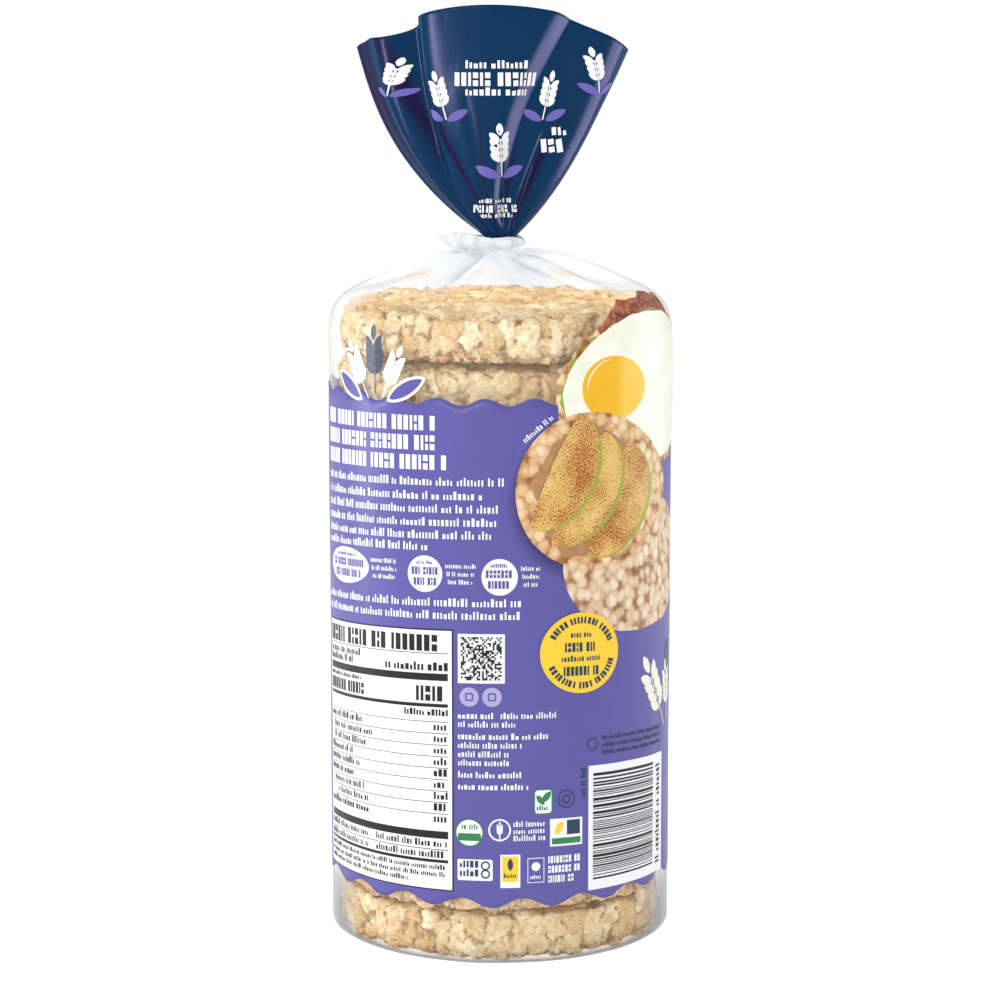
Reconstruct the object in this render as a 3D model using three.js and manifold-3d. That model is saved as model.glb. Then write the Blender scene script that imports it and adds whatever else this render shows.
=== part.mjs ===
// A bag of puffed rice cakes: a stack of thirteen round cakes sealed in one tube of clear film.
//
// The film stands a little off the stack, closes over the top cake in gathered pleats, passes
// through a wound tape at the neck and opens out above it as a ruffled collar. The band printed
// round the middle of the bag has a wavy upper and lower edge. The sealed bag is one solid up to
// its film, and the collar is a thin wavy wall, open at the top. The film is folded flat under the
// stack, which is what the bag stands on.
//
// Units are millimetres, +Z is up, and the origin is the centre of the base. The shown side of
// the bag faces -Y. Angles round the bag are measured from -Y towards +X.

import * as THREE from "three";
import { mergeVertices } from "three/addons/utils/BufferGeometryUtils.js";
import Module from "manifold-3d";

// ---- Driving dimensions ----

const CAKE_COUNT = 13;
const CAKE_PITCH = 14.4; // one cake, from its lowest grain to the next cake's
const CAKE_RADIUS = 48.5;
const STACK_HEIGHT = CAKE_COUNT * CAKE_PITCH;

const FILM_STAND_OFF = 2.9; // how far the film hangs clear of the cakes' rims
const FILM_RADIUS = CAKE_RADIUS + FILM_STAND_OFF;
const BASE_CORNER = 1.6; // radius where the side turns under the lowest cake

const NECK_RADIUS = 5.2; // the gathered film inside the tape
const NECK_FOOT = STACK_HEIGHT + 16.2; // where the shoulder's slope ends
const NECK_TOP = STACK_HEIGHT + 18.8;
const NECK_RELIEF = 0.35; // how far the gathers stand out of the neck
const PLEATS = 12; // gathers round the shoulder
const PLEAT_DRIFT = 5.0; // how much wider they are in front than behind
const PLEAT_CENTRE = 0.26; // the angle at which they are widest
const PLEAT_HEIGHT = 1.5;

const PRINT_LOW = 18.5; // middle of the printed band's lower wavy edge
const PRINT_HIGH = 164.3;
const LOW_WAVES = 18;
const LOW_WAVE_HEIGHT = 1.4;
const LOW_CREST = 0.13; // the angle of one crest
const HIGH_WAVES = 23;
const HIGH_WAVE_HEIGHT = 1.1;
const HIGH_CREST = -0.08;
const PRINT_THICKNESS = 0.4;

const COLLAR_WALL = 1.0;
const COLLAR_SIDE_TOP = STACK_HEIGHT + 75.5; // height of its two side corners
const COLLAR_CROWN = 12.8; // how much higher its front and back edges are
const COLLAR_TILT = 0.4; // how much higher its -X corner is, and lower its +X corner
const COLLAR_HALF_WIDTH = 39.8; // along X, at the top
const COLLAR_HALF_DEPTH = 19.5; // along Y, at the top
const COLLAR_LEAN = 1.9; // how far its upper edge leans towards -X
const COLLAR_BELLY = 2.2; // how much further its middle leans
const COLLAR_FLOOR = 0.12; // where its inner side starts, as a share of its height

const TAPE_INNER = 6.1;
const TAPE_OUTER = 7.4;
const TAPE_LOW = STACK_HEIGHT + 17.2;
const TAPE_HIGH = STACK_HEIGHT + 20.4;
const TAPE_WAVE = 0.25; // how far its edges wander
const FLAG_REACH = 18.7; // how far the tape's free ends stand out, along -X
const FLAG_THICKNESS = 0.8;

const GAP = 0.3; // clearance between touching pieces
const SEGMENTS = 96;
const WAVE_SEGMENTS = 184; // eight to each wave of the upper edge

// ---- Solids ----

const wasm = await Module();
wasm.setup();

/** A closed three.js geometry as a manifold-3d solid. */
function solid(geometry) {
  const bare = geometry.clone();
  bare.deleteAttribute("normal");
  bare.deleteAttribute("uv");
  const merged = mergeVertices(bare, 1e-4);
  return new wasm.Manifold(
    new wasm.Mesh({
      numProp: 3,
      vertProperties: merged.attributes.position.array,
      triVerts: new Uint32Array(merged.index.array),
    }),
  );
}

/** A manifold-3d solid as a three.js geometry. */
function geometryOf(made) {
  const mesh = made.getMesh();
  const geometry = new THREE.BufferGeometry();
  geometry.setAttribute(
    "position",
    new THREE.BufferAttribute(mesh.vertProperties, 3),
  );
  geometry.setIndex(new THREE.BufferAttribute(mesh.triVerts, 1));
  geometry.computeVertexNormals();
  return geometry;
}

/**
 * Spins a profile of [radius, height] pairs round Z, then moves each vertex to
 * place(angle, radius, height), which gives a THREE.Vector3.
 */
function spun(profile, segments, place) {
  const points = profile.map(([radius, height]) => new THREE.Vector2(radius, height));
  const geometry = new THREE.LatheGeometry(points, segments).rotateX(Math.PI / 2);
  const position = geometry.attributes.position;
  for (let i = 0; i < position.count; i++) {
    const x = position.getX(i);
    const y = position.getY(i);
    const spot = place(Math.atan2(x, -y), Math.hypot(x, y), position.getZ(i));
    position.setXYZ(i, spot.x, spot.y, spot.z);
  }
  return geometry;
}

/** The point at this angle from -Y, radius and height. */
function polar(angle, radius, height) {
  return new THREE.Vector3(
    radius * Math.sin(angle),
    -radius * Math.cos(angle),
    height,
  );
}

const smooth = (t) => THREE.MathUtils.smoothstep(t, 0, 1);

// ---- The sealed bag ----

/** The gathers' relief at an angle, from -1 in a valley to 1 on a ridge. */
const pleat = (angle) =>
  Math.cos(PLEATS * angle - PLEAT_DRIFT * Math.sin(angle - PLEAT_CENTRE));

/** How far the pleats rise at this distance from the axis. They fade out towards the side. */
function pleatHeight(radius) {
  const outward = 1 - smooth((radius - 24) / 22);
  const inward = 0.25 + 0.75 * smooth((radius - 7) / 11);
  return PLEAT_HEIGHT * outward * inward;
}

/** The bag's outline from the centre of its base to the top of its neck. */
function bagProfile() {
  const base = [[0, 0]];
  for (let i = 0; i <= 4; i++) {
    const turn = (i / 4) * (Math.PI / 2);
    base.push([
      FILM_RADIUS - BASE_CORNER * (1 - Math.sin(turn)),
      BASE_CORNER * (1 - Math.cos(turn)),
    ]);
  }
  // Over the top cake's rim, then up the slope of the gathers: [radius, height above the stack].
  const shoulder = [
    [FILM_RADIUS, -6.2],
    [FILM_RADIUS - 0.6, -1.6],
    [FILM_RADIUS - 2.8, 2.0],
    [FILM_RADIUS - 7.4, 5.4],
    [FILM_RADIUS - 14.4, 8.2],
    [29, 10.8],
    [21.5, 13.2],
    [15, 15.1],
    [10.5, 15.9],
    [8.0, 16.1],
    [NECK_RADIUS + 0.5, 16.7],
    [NECK_RADIUS, 17.6],
  ].map(([radius, rise]) => [radius, STACK_HEIGHT + rise]);
  return [...base, ...shoulder, [NECK_RADIUS, NECK_TOP], [0, NECK_TOP]];
}

/** The edges of the film folded under the stack: a cross seam, and the flaps beside it. */
function foldGrooves() {
  const depth = 0.5;
  const width = 1.0;
  const seamHalfWidth = 6;
  const seamLength = 86;
  const flapAngle = Math.PI / 4;
  const flapLength = 28;
  const flapMiddle = 28; // distance of a flap's middle from the axis
  const groove = (length, x, y, angle) =>
    solid(
      new THREE.BoxGeometry(length, width, 2 * depth)
        .rotateZ(angle)
        .translate(x, y, 0),
    );
  const grooves = [];
  for (const side of [-1, 1]) {
    grooves.push(groove(seamLength, 0, side * seamHalfWidth, 0));
    for (const end of [-1, 1]) {
      grooves.push(
        groove(
          flapLength,
          end * flapMiddle * Math.cos(flapAngle),
          side * flapMiddle * Math.sin(flapAngle),
          end * side * flapAngle,
        ),
      );
    }
  }
  return wasm.Manifold.union(grooves);
}

/** The height of a wavy edge at an angle. */
const wave = (middle, height, count, crest, angle) =>
  middle + height * Math.cos(count * (angle - crest));
const lowEdge = (angle) => wave(PRINT_LOW, LOW_WAVE_HEIGHT, LOW_WAVES, LOW_CREST, angle);
const highEdge = (angle) => wave(PRINT_HIGH, HIGH_WAVE_HEIGHT, HIGH_WAVES, HIGH_CREST, angle);

/** A ring between two radii, with the printed band's wavy edges moved out by margin. */
function wavyRing(inner, outer, margin) {
  const profile = [[inner, 0], [outer, 0], [outer, 1], [inner, 1], [inner, 0]];
  return spun(profile, WAVE_SEGMENTS, (angle, radius, share) =>
    polar(
      angle,
      radius,
      share < 0.5 ? lowEdge(angle) - margin : highEdge(angle) + margin,
    ),
  );
}

/** The bag, filled up to its film, with a shallow seat for the printed band. */
function bagGeometry() {
  const filled = spun(bagProfile(), SEGMENTS, (angle, radius, height) => {
    const relief = pleat(angle);
    if (height > NECK_FOOT) {
      const bulge = radius > 1 ? NECK_RELIEF * relief : 0;
      return polar(angle, radius + bulge, height);
    }
    const rise = height > STACK_HEIGHT ? pleatHeight(radius) * relief : 0;
    return polar(angle, radius, height + rise);
  });
  const seat = wavyRing(FILM_RADIUS - PRINT_THICKNESS - GAP, FILM_RADIUS + 1, GAP);
  return geometryOf(solid(filled).subtract(solid(seat)).subtract(foldGrooves()));
}

// ---- The collar ----

/** Folds in the collar: [degrees from -Y, depth as a share of the radius, half width in degrees]. */
const COLLAR_FOLDS = [
  [-44, 0.2, 8],
  [-120, 0.3, 9],
  [-145, 0.46, 11],
  [-172, 0.36, 10],
  [159, 0.48, 10],
  [133, 0.36, 10],
  [112, 0.22, 8],
  [45, 0.05, 12],
];
const FOLD_RISE = 0.55; // the share of the collar's height where its folds reach full depth

/** A drop in the upper edge, where the fold in front runs out: mm, degrees and degrees. */
const EDGE_DROP = { depth: 3.6, centre: -52, halfWidth: 12 };

/** A dent of depth 1 centred on an angle, both angles and the half width in degrees. */
function dent(degrees, centre, halfWidth) {
  const turn = THREE.MathUtils.euclideanModulo(degrees - centre + 180, 360) - 180;
  return Math.exp(-((turn / halfWidth) ** 2));
}

/** The share of the collar's radius that is left at an angle, at this share of its height. */
function foldShare(angle, rise) {
  const degrees = THREE.MathUtils.radToDeg(angle);
  let lost = 0;
  for (const [centre, depth, halfWidth] of COLLAR_FOLDS)
    lost += depth * dent(degrees, centre, halfWidth);
  return 1 - lost * smooth(rise / FOLD_RISE);
}

/** The height of the collar's upper edge. */
function collarEdge(angle) {
  const degrees = THREE.MathUtils.radToDeg(angle);
  const drop = EDGE_DROP.depth * dent(degrees, EDGE_DROP.centre, EDGE_DROP.halfWidth);
  const roundness = 1.5;
  const crown = COLLAR_CROWN * Math.abs(Math.cos(angle)) ** roundness;
  return COLLAR_SIDE_TOP + crown - COLLAR_TILT * Math.sin(angle) - drop;
}

/** The share of the way from the neck to the edge that the collar has opened, at this rise. */
const opened = (rise, fullness) => 1 - (1 - rise) ** fullness;

/**
 * A point of the collar's wall. rise runs from -1 at the foot of its stem, inside the tape, to 0
 * where the film comes out of the tape, and to 1 at the upper edge.
 */
function collarPoint(angle, rise, inset) {
  const stemFoot = NECK_TOP + GAP;
  const mouth = TAPE_HIGH + GAP;
  const fullnessX = 1.8;
  const fullnessY = 1.3;
  const spread = Math.max(rise, 0);
  const x = NECK_RADIUS + (COLLAR_HALF_WIDTH - NECK_RADIUS) * opened(spread, fullnessX);
  const y = NECK_RADIUS + (COLLAR_HALF_DEPTH - NECK_RADIUS) * opened(spread, fullnessY);
  const height = rise < 0
    ? mouth + (mouth - stemFoot) * rise
    : mouth + (collarEdge(angle) - mouth) * rise;
  const spot = new THREE.Vector3(x * Math.sin(angle), -y * Math.cos(angle), 0);
  const radius = spot.length() * foldShare(angle, spread) - inset;
  spot.setLength(radius).setZ(height);
  spot.x -= COLLAR_LEAN * spread + COLLAR_BELLY * Math.sin(Math.PI * spread);
  return spot;
}

/** The thin ruffled wall of the collar, closed at the neck and open at the top. */
function collarGeometry() {
  const outer = 2; // radii of the profile that stand for the outer and the inner side
  const inner = 1;
  const rows = [0, 0.05, 0.12, 0.2, 0.3, 0.42, 0.55, 0.7, 0.85, 1];
  const profile = [
    [0, -1],
    [outer, -1],
    ...rows.map((rise) => [outer, rise]),
    ...rows.filter((rise) => rise > COLLAR_FLOOR).reverse().map((rise) => [inner, rise]),
    [0, COLLAR_FLOOR],
  ];
  return spun(profile, SEGMENTS, (angle, side, rise) => {
    const onAxis = Math.round(side) === 0;
    if (onAxis) {
      const { z } = collarPoint(0, rise, 0);
      const { x } = collarPoint(Math.PI / 2, rise, 0).add(collarPoint(-Math.PI / 2, rise, 0));
      return new THREE.Vector3(x / 2, 0, z);
    }
    return collarPoint(angle, rise, Math.round(side) === outer ? 0 : COLLAR_WALL);
  });
}

// ---- The tape ----

/** The tape's free ends, stuck together as a crooked flag that stands out past the neck. */
function flagGeometry() {
  const root = 2.5; // the flag leaves the ring this far along -X
  const outline = new THREE.Shape();
  outline.moveTo(-root, TAPE_LOW + 0.3);
  outline.lineTo(-root, TAPE_HIGH - 0.2);
  outline.lineTo(-root - 3.4, TAPE_HIGH + 0.5);
  outline.lineTo(-FLAG_REACH + 9.3, TAPE_HIGH + 1.4);
  outline.lineTo(-FLAG_REACH + 4.6, TAPE_HIGH + 1.5);
  outline.lineTo(-FLAG_REACH + 3.7, TAPE_HIGH + 0.8);
  outline.lineTo(-FLAG_REACH, TAPE_HIGH + 0.5);
  outline.lineTo(-FLAG_REACH + 4.6, TAPE_LOW + 0.4);
  outline.lineTo(-FLAG_REACH + 9.3, TAPE_LOW + 0.2);
  return new THREE.ExtrudeGeometry(outline, { depth: FLAG_THICKNESS, bevelEnabled: false })
    .rotateX(Math.PI / 2)
    .translate(0, -TAPE_INNER, 0);
}

/** The tape wound round the neck, with its flag. */
function tapeGeometry() {
  const profile = [
    [TAPE_INNER, TAPE_LOW],
    [TAPE_OUTER, TAPE_LOW],
    [TAPE_OUTER, TAPE_HIGH],
    [TAPE_INNER, TAPE_HIGH],
    [TAPE_INNER, TAPE_LOW],
  ];
  const waves = 3;
  const segments = 40;
  const ring = spun(profile, segments, (angle, radius, height) =>
    polar(angle, radius, height + TAPE_WAVE * Math.sin(waves * angle)),
  );
  return geometryOf(solid(ring).add(solid(flagGeometry())));
}

// ---- The object ----

const clearFilm = new THREE.MeshStandardMaterial({
  color: 0xe2c793,
  roughness: 0.25,
  metalness: 0,
});
const printedFilm = new THREE.MeshStandardMaterial({
  color: 0x6560ab,
  roughness: 0.3,
  metalness: 0,
});
const collarFilm = new THREE.MeshStandardMaterial({
  color: 0x143a62,
  roughness: 0.25,
  metalness: 0,
});
const whiteTape = new THREE.MeshStandardMaterial({
  color: 0xeceeef,
  roughness: 0.5,
  metalness: 0,
});

function node(name, geometry, material) {
  const mesh = new THREE.Mesh(geometry, material);
  mesh.name = name;
  return mesh;
}

const riceCakeBag = new THREE.Group();
riceCakeBag.add(
  node("bag", bagGeometry(), clearFilm),
  node("printed_band", wavyRing(FILM_RADIUS - PRINT_THICKNESS, FILM_RADIUS, 0), printedFilm),
  node("collar", collarGeometry(), collarFilm),
  node("neck_tape", tapeGeometry(), whiteTape),
);

export default riceCakeBag;
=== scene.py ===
"""A clear bag of thirteen puffed rice cakes, with a printed band, a taped neck and a ruffled collar.

Everything is shaped in millimetres and scaled to metres when a piece is finished. Angles round the
bag are measured from -Y, its front, towards +X. A place on the film is its angle and its run, the
distance along the film from base to neck, which equals the height all up the straight side.
"""

import math
import random

import bmesh
import bpy
import numpy as np
from mathutils import Euler, Matrix, Vector, kdtree, noise


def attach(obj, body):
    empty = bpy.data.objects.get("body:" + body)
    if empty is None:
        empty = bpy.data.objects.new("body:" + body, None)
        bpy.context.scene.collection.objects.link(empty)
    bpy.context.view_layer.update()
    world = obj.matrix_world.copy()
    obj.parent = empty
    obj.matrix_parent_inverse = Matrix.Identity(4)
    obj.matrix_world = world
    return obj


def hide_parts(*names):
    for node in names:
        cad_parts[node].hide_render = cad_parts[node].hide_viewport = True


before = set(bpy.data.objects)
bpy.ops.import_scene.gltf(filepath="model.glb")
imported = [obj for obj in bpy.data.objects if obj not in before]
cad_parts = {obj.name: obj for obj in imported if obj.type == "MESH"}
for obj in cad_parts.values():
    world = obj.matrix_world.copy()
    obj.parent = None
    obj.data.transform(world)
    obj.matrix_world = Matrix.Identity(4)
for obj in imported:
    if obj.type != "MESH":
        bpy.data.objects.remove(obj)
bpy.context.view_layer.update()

MM = 0.001
UP = Vector((0, 0, 1))

# ---- Driving dimensions, in millimetres, as in the solids ----

CAKE_COUNT = 13
CAKE_PITCH = 14.4  # one cake, from its lowest grain to the next cake's
CAKE_RADIUS = 48.5
STACK_HEIGHT = CAKE_COUNT * CAKE_PITCH

FILM_RADIUS = CAKE_RADIUS + 2.9
BASE_CORNER = 1.6  # radius where the side turns under the lowest cake
NECK_RADIUS = 5.2  # the gathered film inside the tape
NECK_FOOT = STACK_HEIGHT + 16.2  # where the shoulder's slope ends
NECK_TOP = STACK_HEIGHT + 18.8
NECK_RELIEF = 0.35
PLEATS = 12  # gathers round the shoulder
PLEAT_DRIFT = 5.0  # how much wider they are in front than behind
PLEAT_CENTRE = 0.26  # the angle at which they are widest
PLEAT_HEIGHT = 1.5

PRINT_LOW = 18.5  # middle of the printed band's lower wavy edge
PRINT_HIGH = 164.3
LOW_WAVES = 18
LOW_WAVE_HEIGHT = 1.4
LOW_CREST = 0.13  # the angle of one crest
HIGH_WAVES = 23
HIGH_WAVE_HEIGHT = 1.1
HIGH_CREST = -0.08

COLLAR_SIDE_TOP = STACK_HEIGHT + 75.5  # height of its two side corners
COLLAR_CROWN = 12.8  # how much higher its front and back edges are
COLLAR_TILT = 0.4  # how much higher its -X corner is, and lower its +X corner
COLLAR_HALF_WIDTH = 39.8  # along X, at the top
COLLAR_HALF_DEPTH = 19.5  # along Y, at the top
COLLAR_LEAN = 1.9  # how far its upper edge leans towards -X
COLLAR_BELLY = 2.2  # how much further its middle leans

TAPE_INNER = 6.1
TAPE_OUTER = 7.4
TAPE_LOW = STACK_HEIGHT + 17.2
TAPE_HIGH = STACK_HEIGHT + 20.4
TAPE_WAVE = 0.25  # how far its edges wander
TAPE_PINCH = 1.9  # how much narrower it is on its +X side
FLAG_THICKNESS = 0.6

GAP = 0.3  # clearance between touching pieces

# ---- Building blocks ----


def smooth(share):
    """Eases a share from 0 to 1."""
    share = min(max(share, 0.0), 1.0)
    return share * share * (3 - 2 * share)


def eased(value, start, end):
    """Eases from 0 where the value is at its start to 1 where it is at its end."""
    return smooth((value - start) / (end - start))


def polar(angle, radius, height):
    """The point at this angle from -Y, radius and height."""
    return Vector((radius * math.sin(angle), -radius * math.cos(angle), height))


def angle_of(point):
    """The angle from -Y at which a point stands."""
    return math.atan2(point.x, -point.y)


def nearest_turn(degrees):
    """The same direction, given as -180 to 180 degrees."""
    return (degrees + 180) % 360 - 180


def round_noise(angle, size, along):
    """Noise from about -1 to 1 that meets itself round the axis, finer for a larger size."""
    return noise.noise(Vector((size * math.cos(angle), size * math.sin(angle), along)))


def linked(name, data):
    """A new object in the scene that shows this mesh, lamp or camera."""
    made = bpy.data.objects.new(name, data)
    bpy.context.scene.collection.objects.link(made)
    return made


def finished(shape, name, slot, *materials):
    """Makes an object in metres from a shape in millimetres, riding on the bag."""
    bmesh.ops.scale(shape, vec=Vector((MM, MM, MM)), verts=shape.verts)
    mesh = bpy.data.meshes.new(name)
    shape.to_mesh(mesh)
    shape.free()
    return placed(mesh, name, slot, *materials)


def placed(mesh, name, slot, *materials, smooth_faces=True):
    """Links a finished mesh as a piece with its materials. The slot is not used."""
    for material in materials:
        mesh.materials.append(material)
    if smooth_faces:
        mesh.shade_smooth()
    piece = linked(name, mesh)
    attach(piece, "root")
    return piece


def tube(runs, segments):
    """A tube of radius 1 round Z with a ring of vertices at each run, for place() to shape."""
    shape = bmesh.new()
    rows = len(runs) - 1
    bmesh.ops.create_grid(shape, x_segments=segments, y_segments=rows, size=1)
    for vertex in shape.verts:
        angle = math.pi * vertex.co.x
        run = runs[round((vertex.co.y + 1) / 2 * rows)]
        vertex.co = (math.sin(angle), -math.cos(angle), run)
    bmesh.ops.remove_doubles(shape, verts=shape.verts, dist=1e-5)
    return shape


def tables(shape):
    """A template's vertices and faces as tables. The shape itself is given up."""
    shape.verts.index_update()
    points = np.array([vertex.co for vertex in shape.verts])
    faces = np.array([[vertex.index for vertex in face.verts] for face in shape.faces])
    shape.free()
    return points, faces


def place(shape, spot):
    """Moves each vertex of a tube to spot(angle, run), then closes what came together."""
    for vertex in shape.verts:
        vertex.co = spot(angle_of(vertex.co), vertex.co.z)
    bmesh.ops.remove_doubles(shape, verts=shape.verts, dist=1e-4)
    bmesh.ops.recalc_face_normals(shape, faces=shape.faces)


def close_ends(shape):
    """Fills the openings that are left in a tube."""
    ends = [edge for edge in shape.edges if edge.is_boundary]
    bmesh.ops.holes_fill(shape, edges=ends, sides=0)
    bmesh.ops.recalc_face_normals(shape, faces=shape.faces)


def thicken(shape, faces, reach):
    """Makes faces into a plate between them and where reach takes them."""
    made = bmesh.ops.extrude_face_region(shape, geom=faces)
    moved = [item for item in made["geom"] if isinstance(item, bmesh.types.BMVert)]
    bmesh.ops.translate(shape, verts=moved, vec=reach)
    bmesh.ops.recalc_face_normals(shape, faces=shape.faces)


# ---- Shaders ----


def display(red, green, blue):
    """A colour given as it looks on a screen, 0 to 255, as a shader's linear colour."""
    def linear(value):
        value /= 255
        return value / 12.92 if value <= 0.04045 else ((value + 0.055) / 1.055) ** 2.4

    return (linear(red), linear(green), linear(blue), 1.0)


def add(tree, kind, inputs=None, **settings):
    """Adds a shader node. An input is a plain value or the socket that feeds it."""
    made = tree.nodes.new("ShaderNode" + kind)
    for name, value in settings.items():
        setattr(made, name, value)
    for key, value in (inputs or {}).items():
        if isinstance(value, bpy.types.NodeSocket):
            tree.links.new(value, made.inputs[key])
        else:
            made.inputs[key].default_value = value
    return made


def new_material(name):
    """An empty material, and the tree for its nodes."""
    material = bpy.data.materials.new(name)
    material.use_nodes = True
    tree = material.node_tree
    tree.nodes.clear()
    return material, tree


def output(tree, shader):
    """Ends a material with this shader."""
    add(tree, "OutputMaterial", {"Surface": shader})


def mixed(tree, factor, first, second):
    """One colour socket between two colours."""
    return add(tree, "Mix", {0: factor, 6: first, 7: second}, data_type="RGBA").outputs[2]


def sized(tree, value, low, high, to_low=0.0, to_high=1.0):
    """Maps a value's range onto another, clamped."""
    ends = {"From Min": low, "From Max": high, "To Min": to_low, "To Max": to_high}
    return add(tree, "MapRange", {"Value": value, **ends}).outputs["Result"]


def worked_out(tree, operation, first, second):
    """A number worked out from two others."""
    return add(tree, "Math", {0: first, 1: second}, operation=operation).outputs[0]


def object_place(tree, stretch=(1, 1, 1)):
    """Object coordinates in millimetres, stretched along an axis where a pattern is."""
    source = add(tree, "TexCoord")
    mapping = add(tree, "Mapping", {"Vector": source.outputs["Object"]})
    mapping.inputs["Scale"].default_value = [1000 * share for share in stretch]
    return mapping.outputs["Vector"]


def cloudy(tree, where, size, detail=3.0, roughness=0.5, distortion=0.0):
    """Noise whose lumps are about this many millimetres across."""
    inputs = {"Vector": where, "Scale": 1.0 / size, "Detail": detail}
    inputs |= {"Roughness": roughness, "Distortion": distortion}
    return add(tree, "TexNoise", inputs).outputs["Fac"]


def raised(tree, height, distance, strength=1.0, normal=None):
    """A bump whose full height is this many millimetres."""
    inputs = {"Height": height, "Distance": distance * MM, "Strength": strength}
    if normal is not None:
        inputs["Normal"] = normal
    return add(tree, "Bump", inputs).outputs["Normal"]


def attribute(tree, name):
    """A number that a piece's mesh carries at each of its points."""
    return add(tree, "Attribute", attribute_name=name).outputs["Fac"]


def body(tree, paint, roughness, normal, gloss=0.5, glow=0.0):
    """Ends a material as a body of this colour, with a little light of its own if it glows."""
    inputs = {"Base Color": paint, "Roughness": roughness, "Normal": normal}
    inputs["Specular IOR Level"] = gloss
    if glow:
        inputs |= {"Emission Color": paint, "Emission Strength": glow}
    output(tree, add(tree, "BsdfPrincipled", inputs).outputs[0])


# ---- Finishes ----


def clear_film():
    """Clear polypropylene film. Its attributes say how white it is, and how much painted shade is on
    it; where it is unshaded it has a faint painted glow.
    """
    material, tree = new_material("clear_film")
    haze = attribute(tree, "haze")
    shade = attribute(tree, "shade")
    where = object_place(tree, (1, 1, 0.35))
    crinkle = raised(tree, cloudy(tree, where, 9.0, 3.0, 0.5), 0.2, 0.5)
    edge_on = add(tree, "LayerWeight", {"Blend": 0.25, "Normal": crinkle}).outputs["Facing"]
    rim = sized(tree, edge_on, 0.35, 1.0, 0.0, 0.65)
    cover = worked_out(tree, "MINIMUM", worked_out(tree, "ADD", haze, rim), 0.97)
    see_through = add(tree, "BsdfTransparent", {"Color": (0.985, 0.985, 0.99, 1)})
    # painted shade greys the film towards the second colour where its shade attribute is high;
    # unshaded film gives off a faint painted glow
    milky = {
        "Base Color": mixed(tree, shade, display(247, 249, 250), display(146, 148, 153)),
        "Roughness": 0.35,
        "Normal": crinkle,
        "Emission Color": display(250, 252, 254),
        "Emission Strength": sized(tree, shade, 0.0, 1.0, 0.3, 0.0),
    }
    white = add(tree, "BsdfPrincipled", milky)
    shine = add(tree, "BsdfGlossy", {"Color": (1, 1, 1, 1), "Roughness": 0.2, "Normal": crinkle})
    hazed = add(tree, "MixShader", {0: cover, 1: see_through.outputs[0], 2: white.outputs[0]})
    facing = add(tree, "LayerWeight", {"Blend": 0.5, "Normal": crinkle}).outputs["Facing"]
    glint = sized(tree, worked_out(tree, "POWER", facing, 5.0), 0.0, 1.0, 0.025, 0.9)
    film = add(tree, "MixShader", {0: glint, 1: hazed.outputs[0], 2: shine.outputs[0]})
    output(tree, film.outputs[0])
    return material


def printed_ink(name, colour, roughness=0.32, relief=0.12, gloss=0.4, fold_shade_paint=None):
    """Ink under a glossy film, faintly mottled and with the film's long soft wrinkles, and painted
    shade in folds when a colour for it is given.
    """
    material, tree = new_material(name)
    where = object_place(tree, (1, 1, 0.16))
    wrinkle = cloudy(tree, where, 5.0, 4.0, 0.5, 0.4)
    mottle = cloudy(tree, object_place(tree), 2.0, 4.0, 0.6)
    tone = sized(tree, mottle, 0.3, 0.7, 0.0, 0.1)
    deeper = tuple(0.8 * part for part in colour[:3]) + (1.0,)
    paint = mixed(tree, tone, colour, deeper)
    # painted shade: the ink darkens towards the given colour where the piece's shade attribute says it
    # lies in a fold
    if fold_shade_paint:
        folded = sized(tree, attribute(tree, "shade"), 0.1, 0.9, 0.0, 0.9)
        paint = mixed(tree, folded, paint, fold_shade_paint)
    uneven = sized(tree, wrinkle, 0.3, 0.7, roughness - 0.04, roughness + 0.06)
    body(tree, paint, uneven, raised(tree, wrinkle, relief), gloss)
    return material


def tape_paper():
    """White crepe tape: matt, with fine creases across it and painted shade in its crumples."""
    material, tree = new_material("tape_paper")
    creases = cloudy(tree, object_place(tree, (1, 1, 0.3)), 0.9, 5.0, 0.6)
    crumple = cloudy(tree, object_place(tree), 4.0, 3.0)
    # painted shade in the crumples
    painted_crumple_shade = sized(tree, crumple, 0.35, 0.7)
    paint = mixed(tree, painted_crumple_shade, display(246, 248, 250), display(226, 230, 235))
    normal = raised(tree, creases, 0.25, 0.6, raised(tree, crumple, 0.6, 0.6))
    body(tree, paint, 0.5, normal)
    return material


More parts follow.
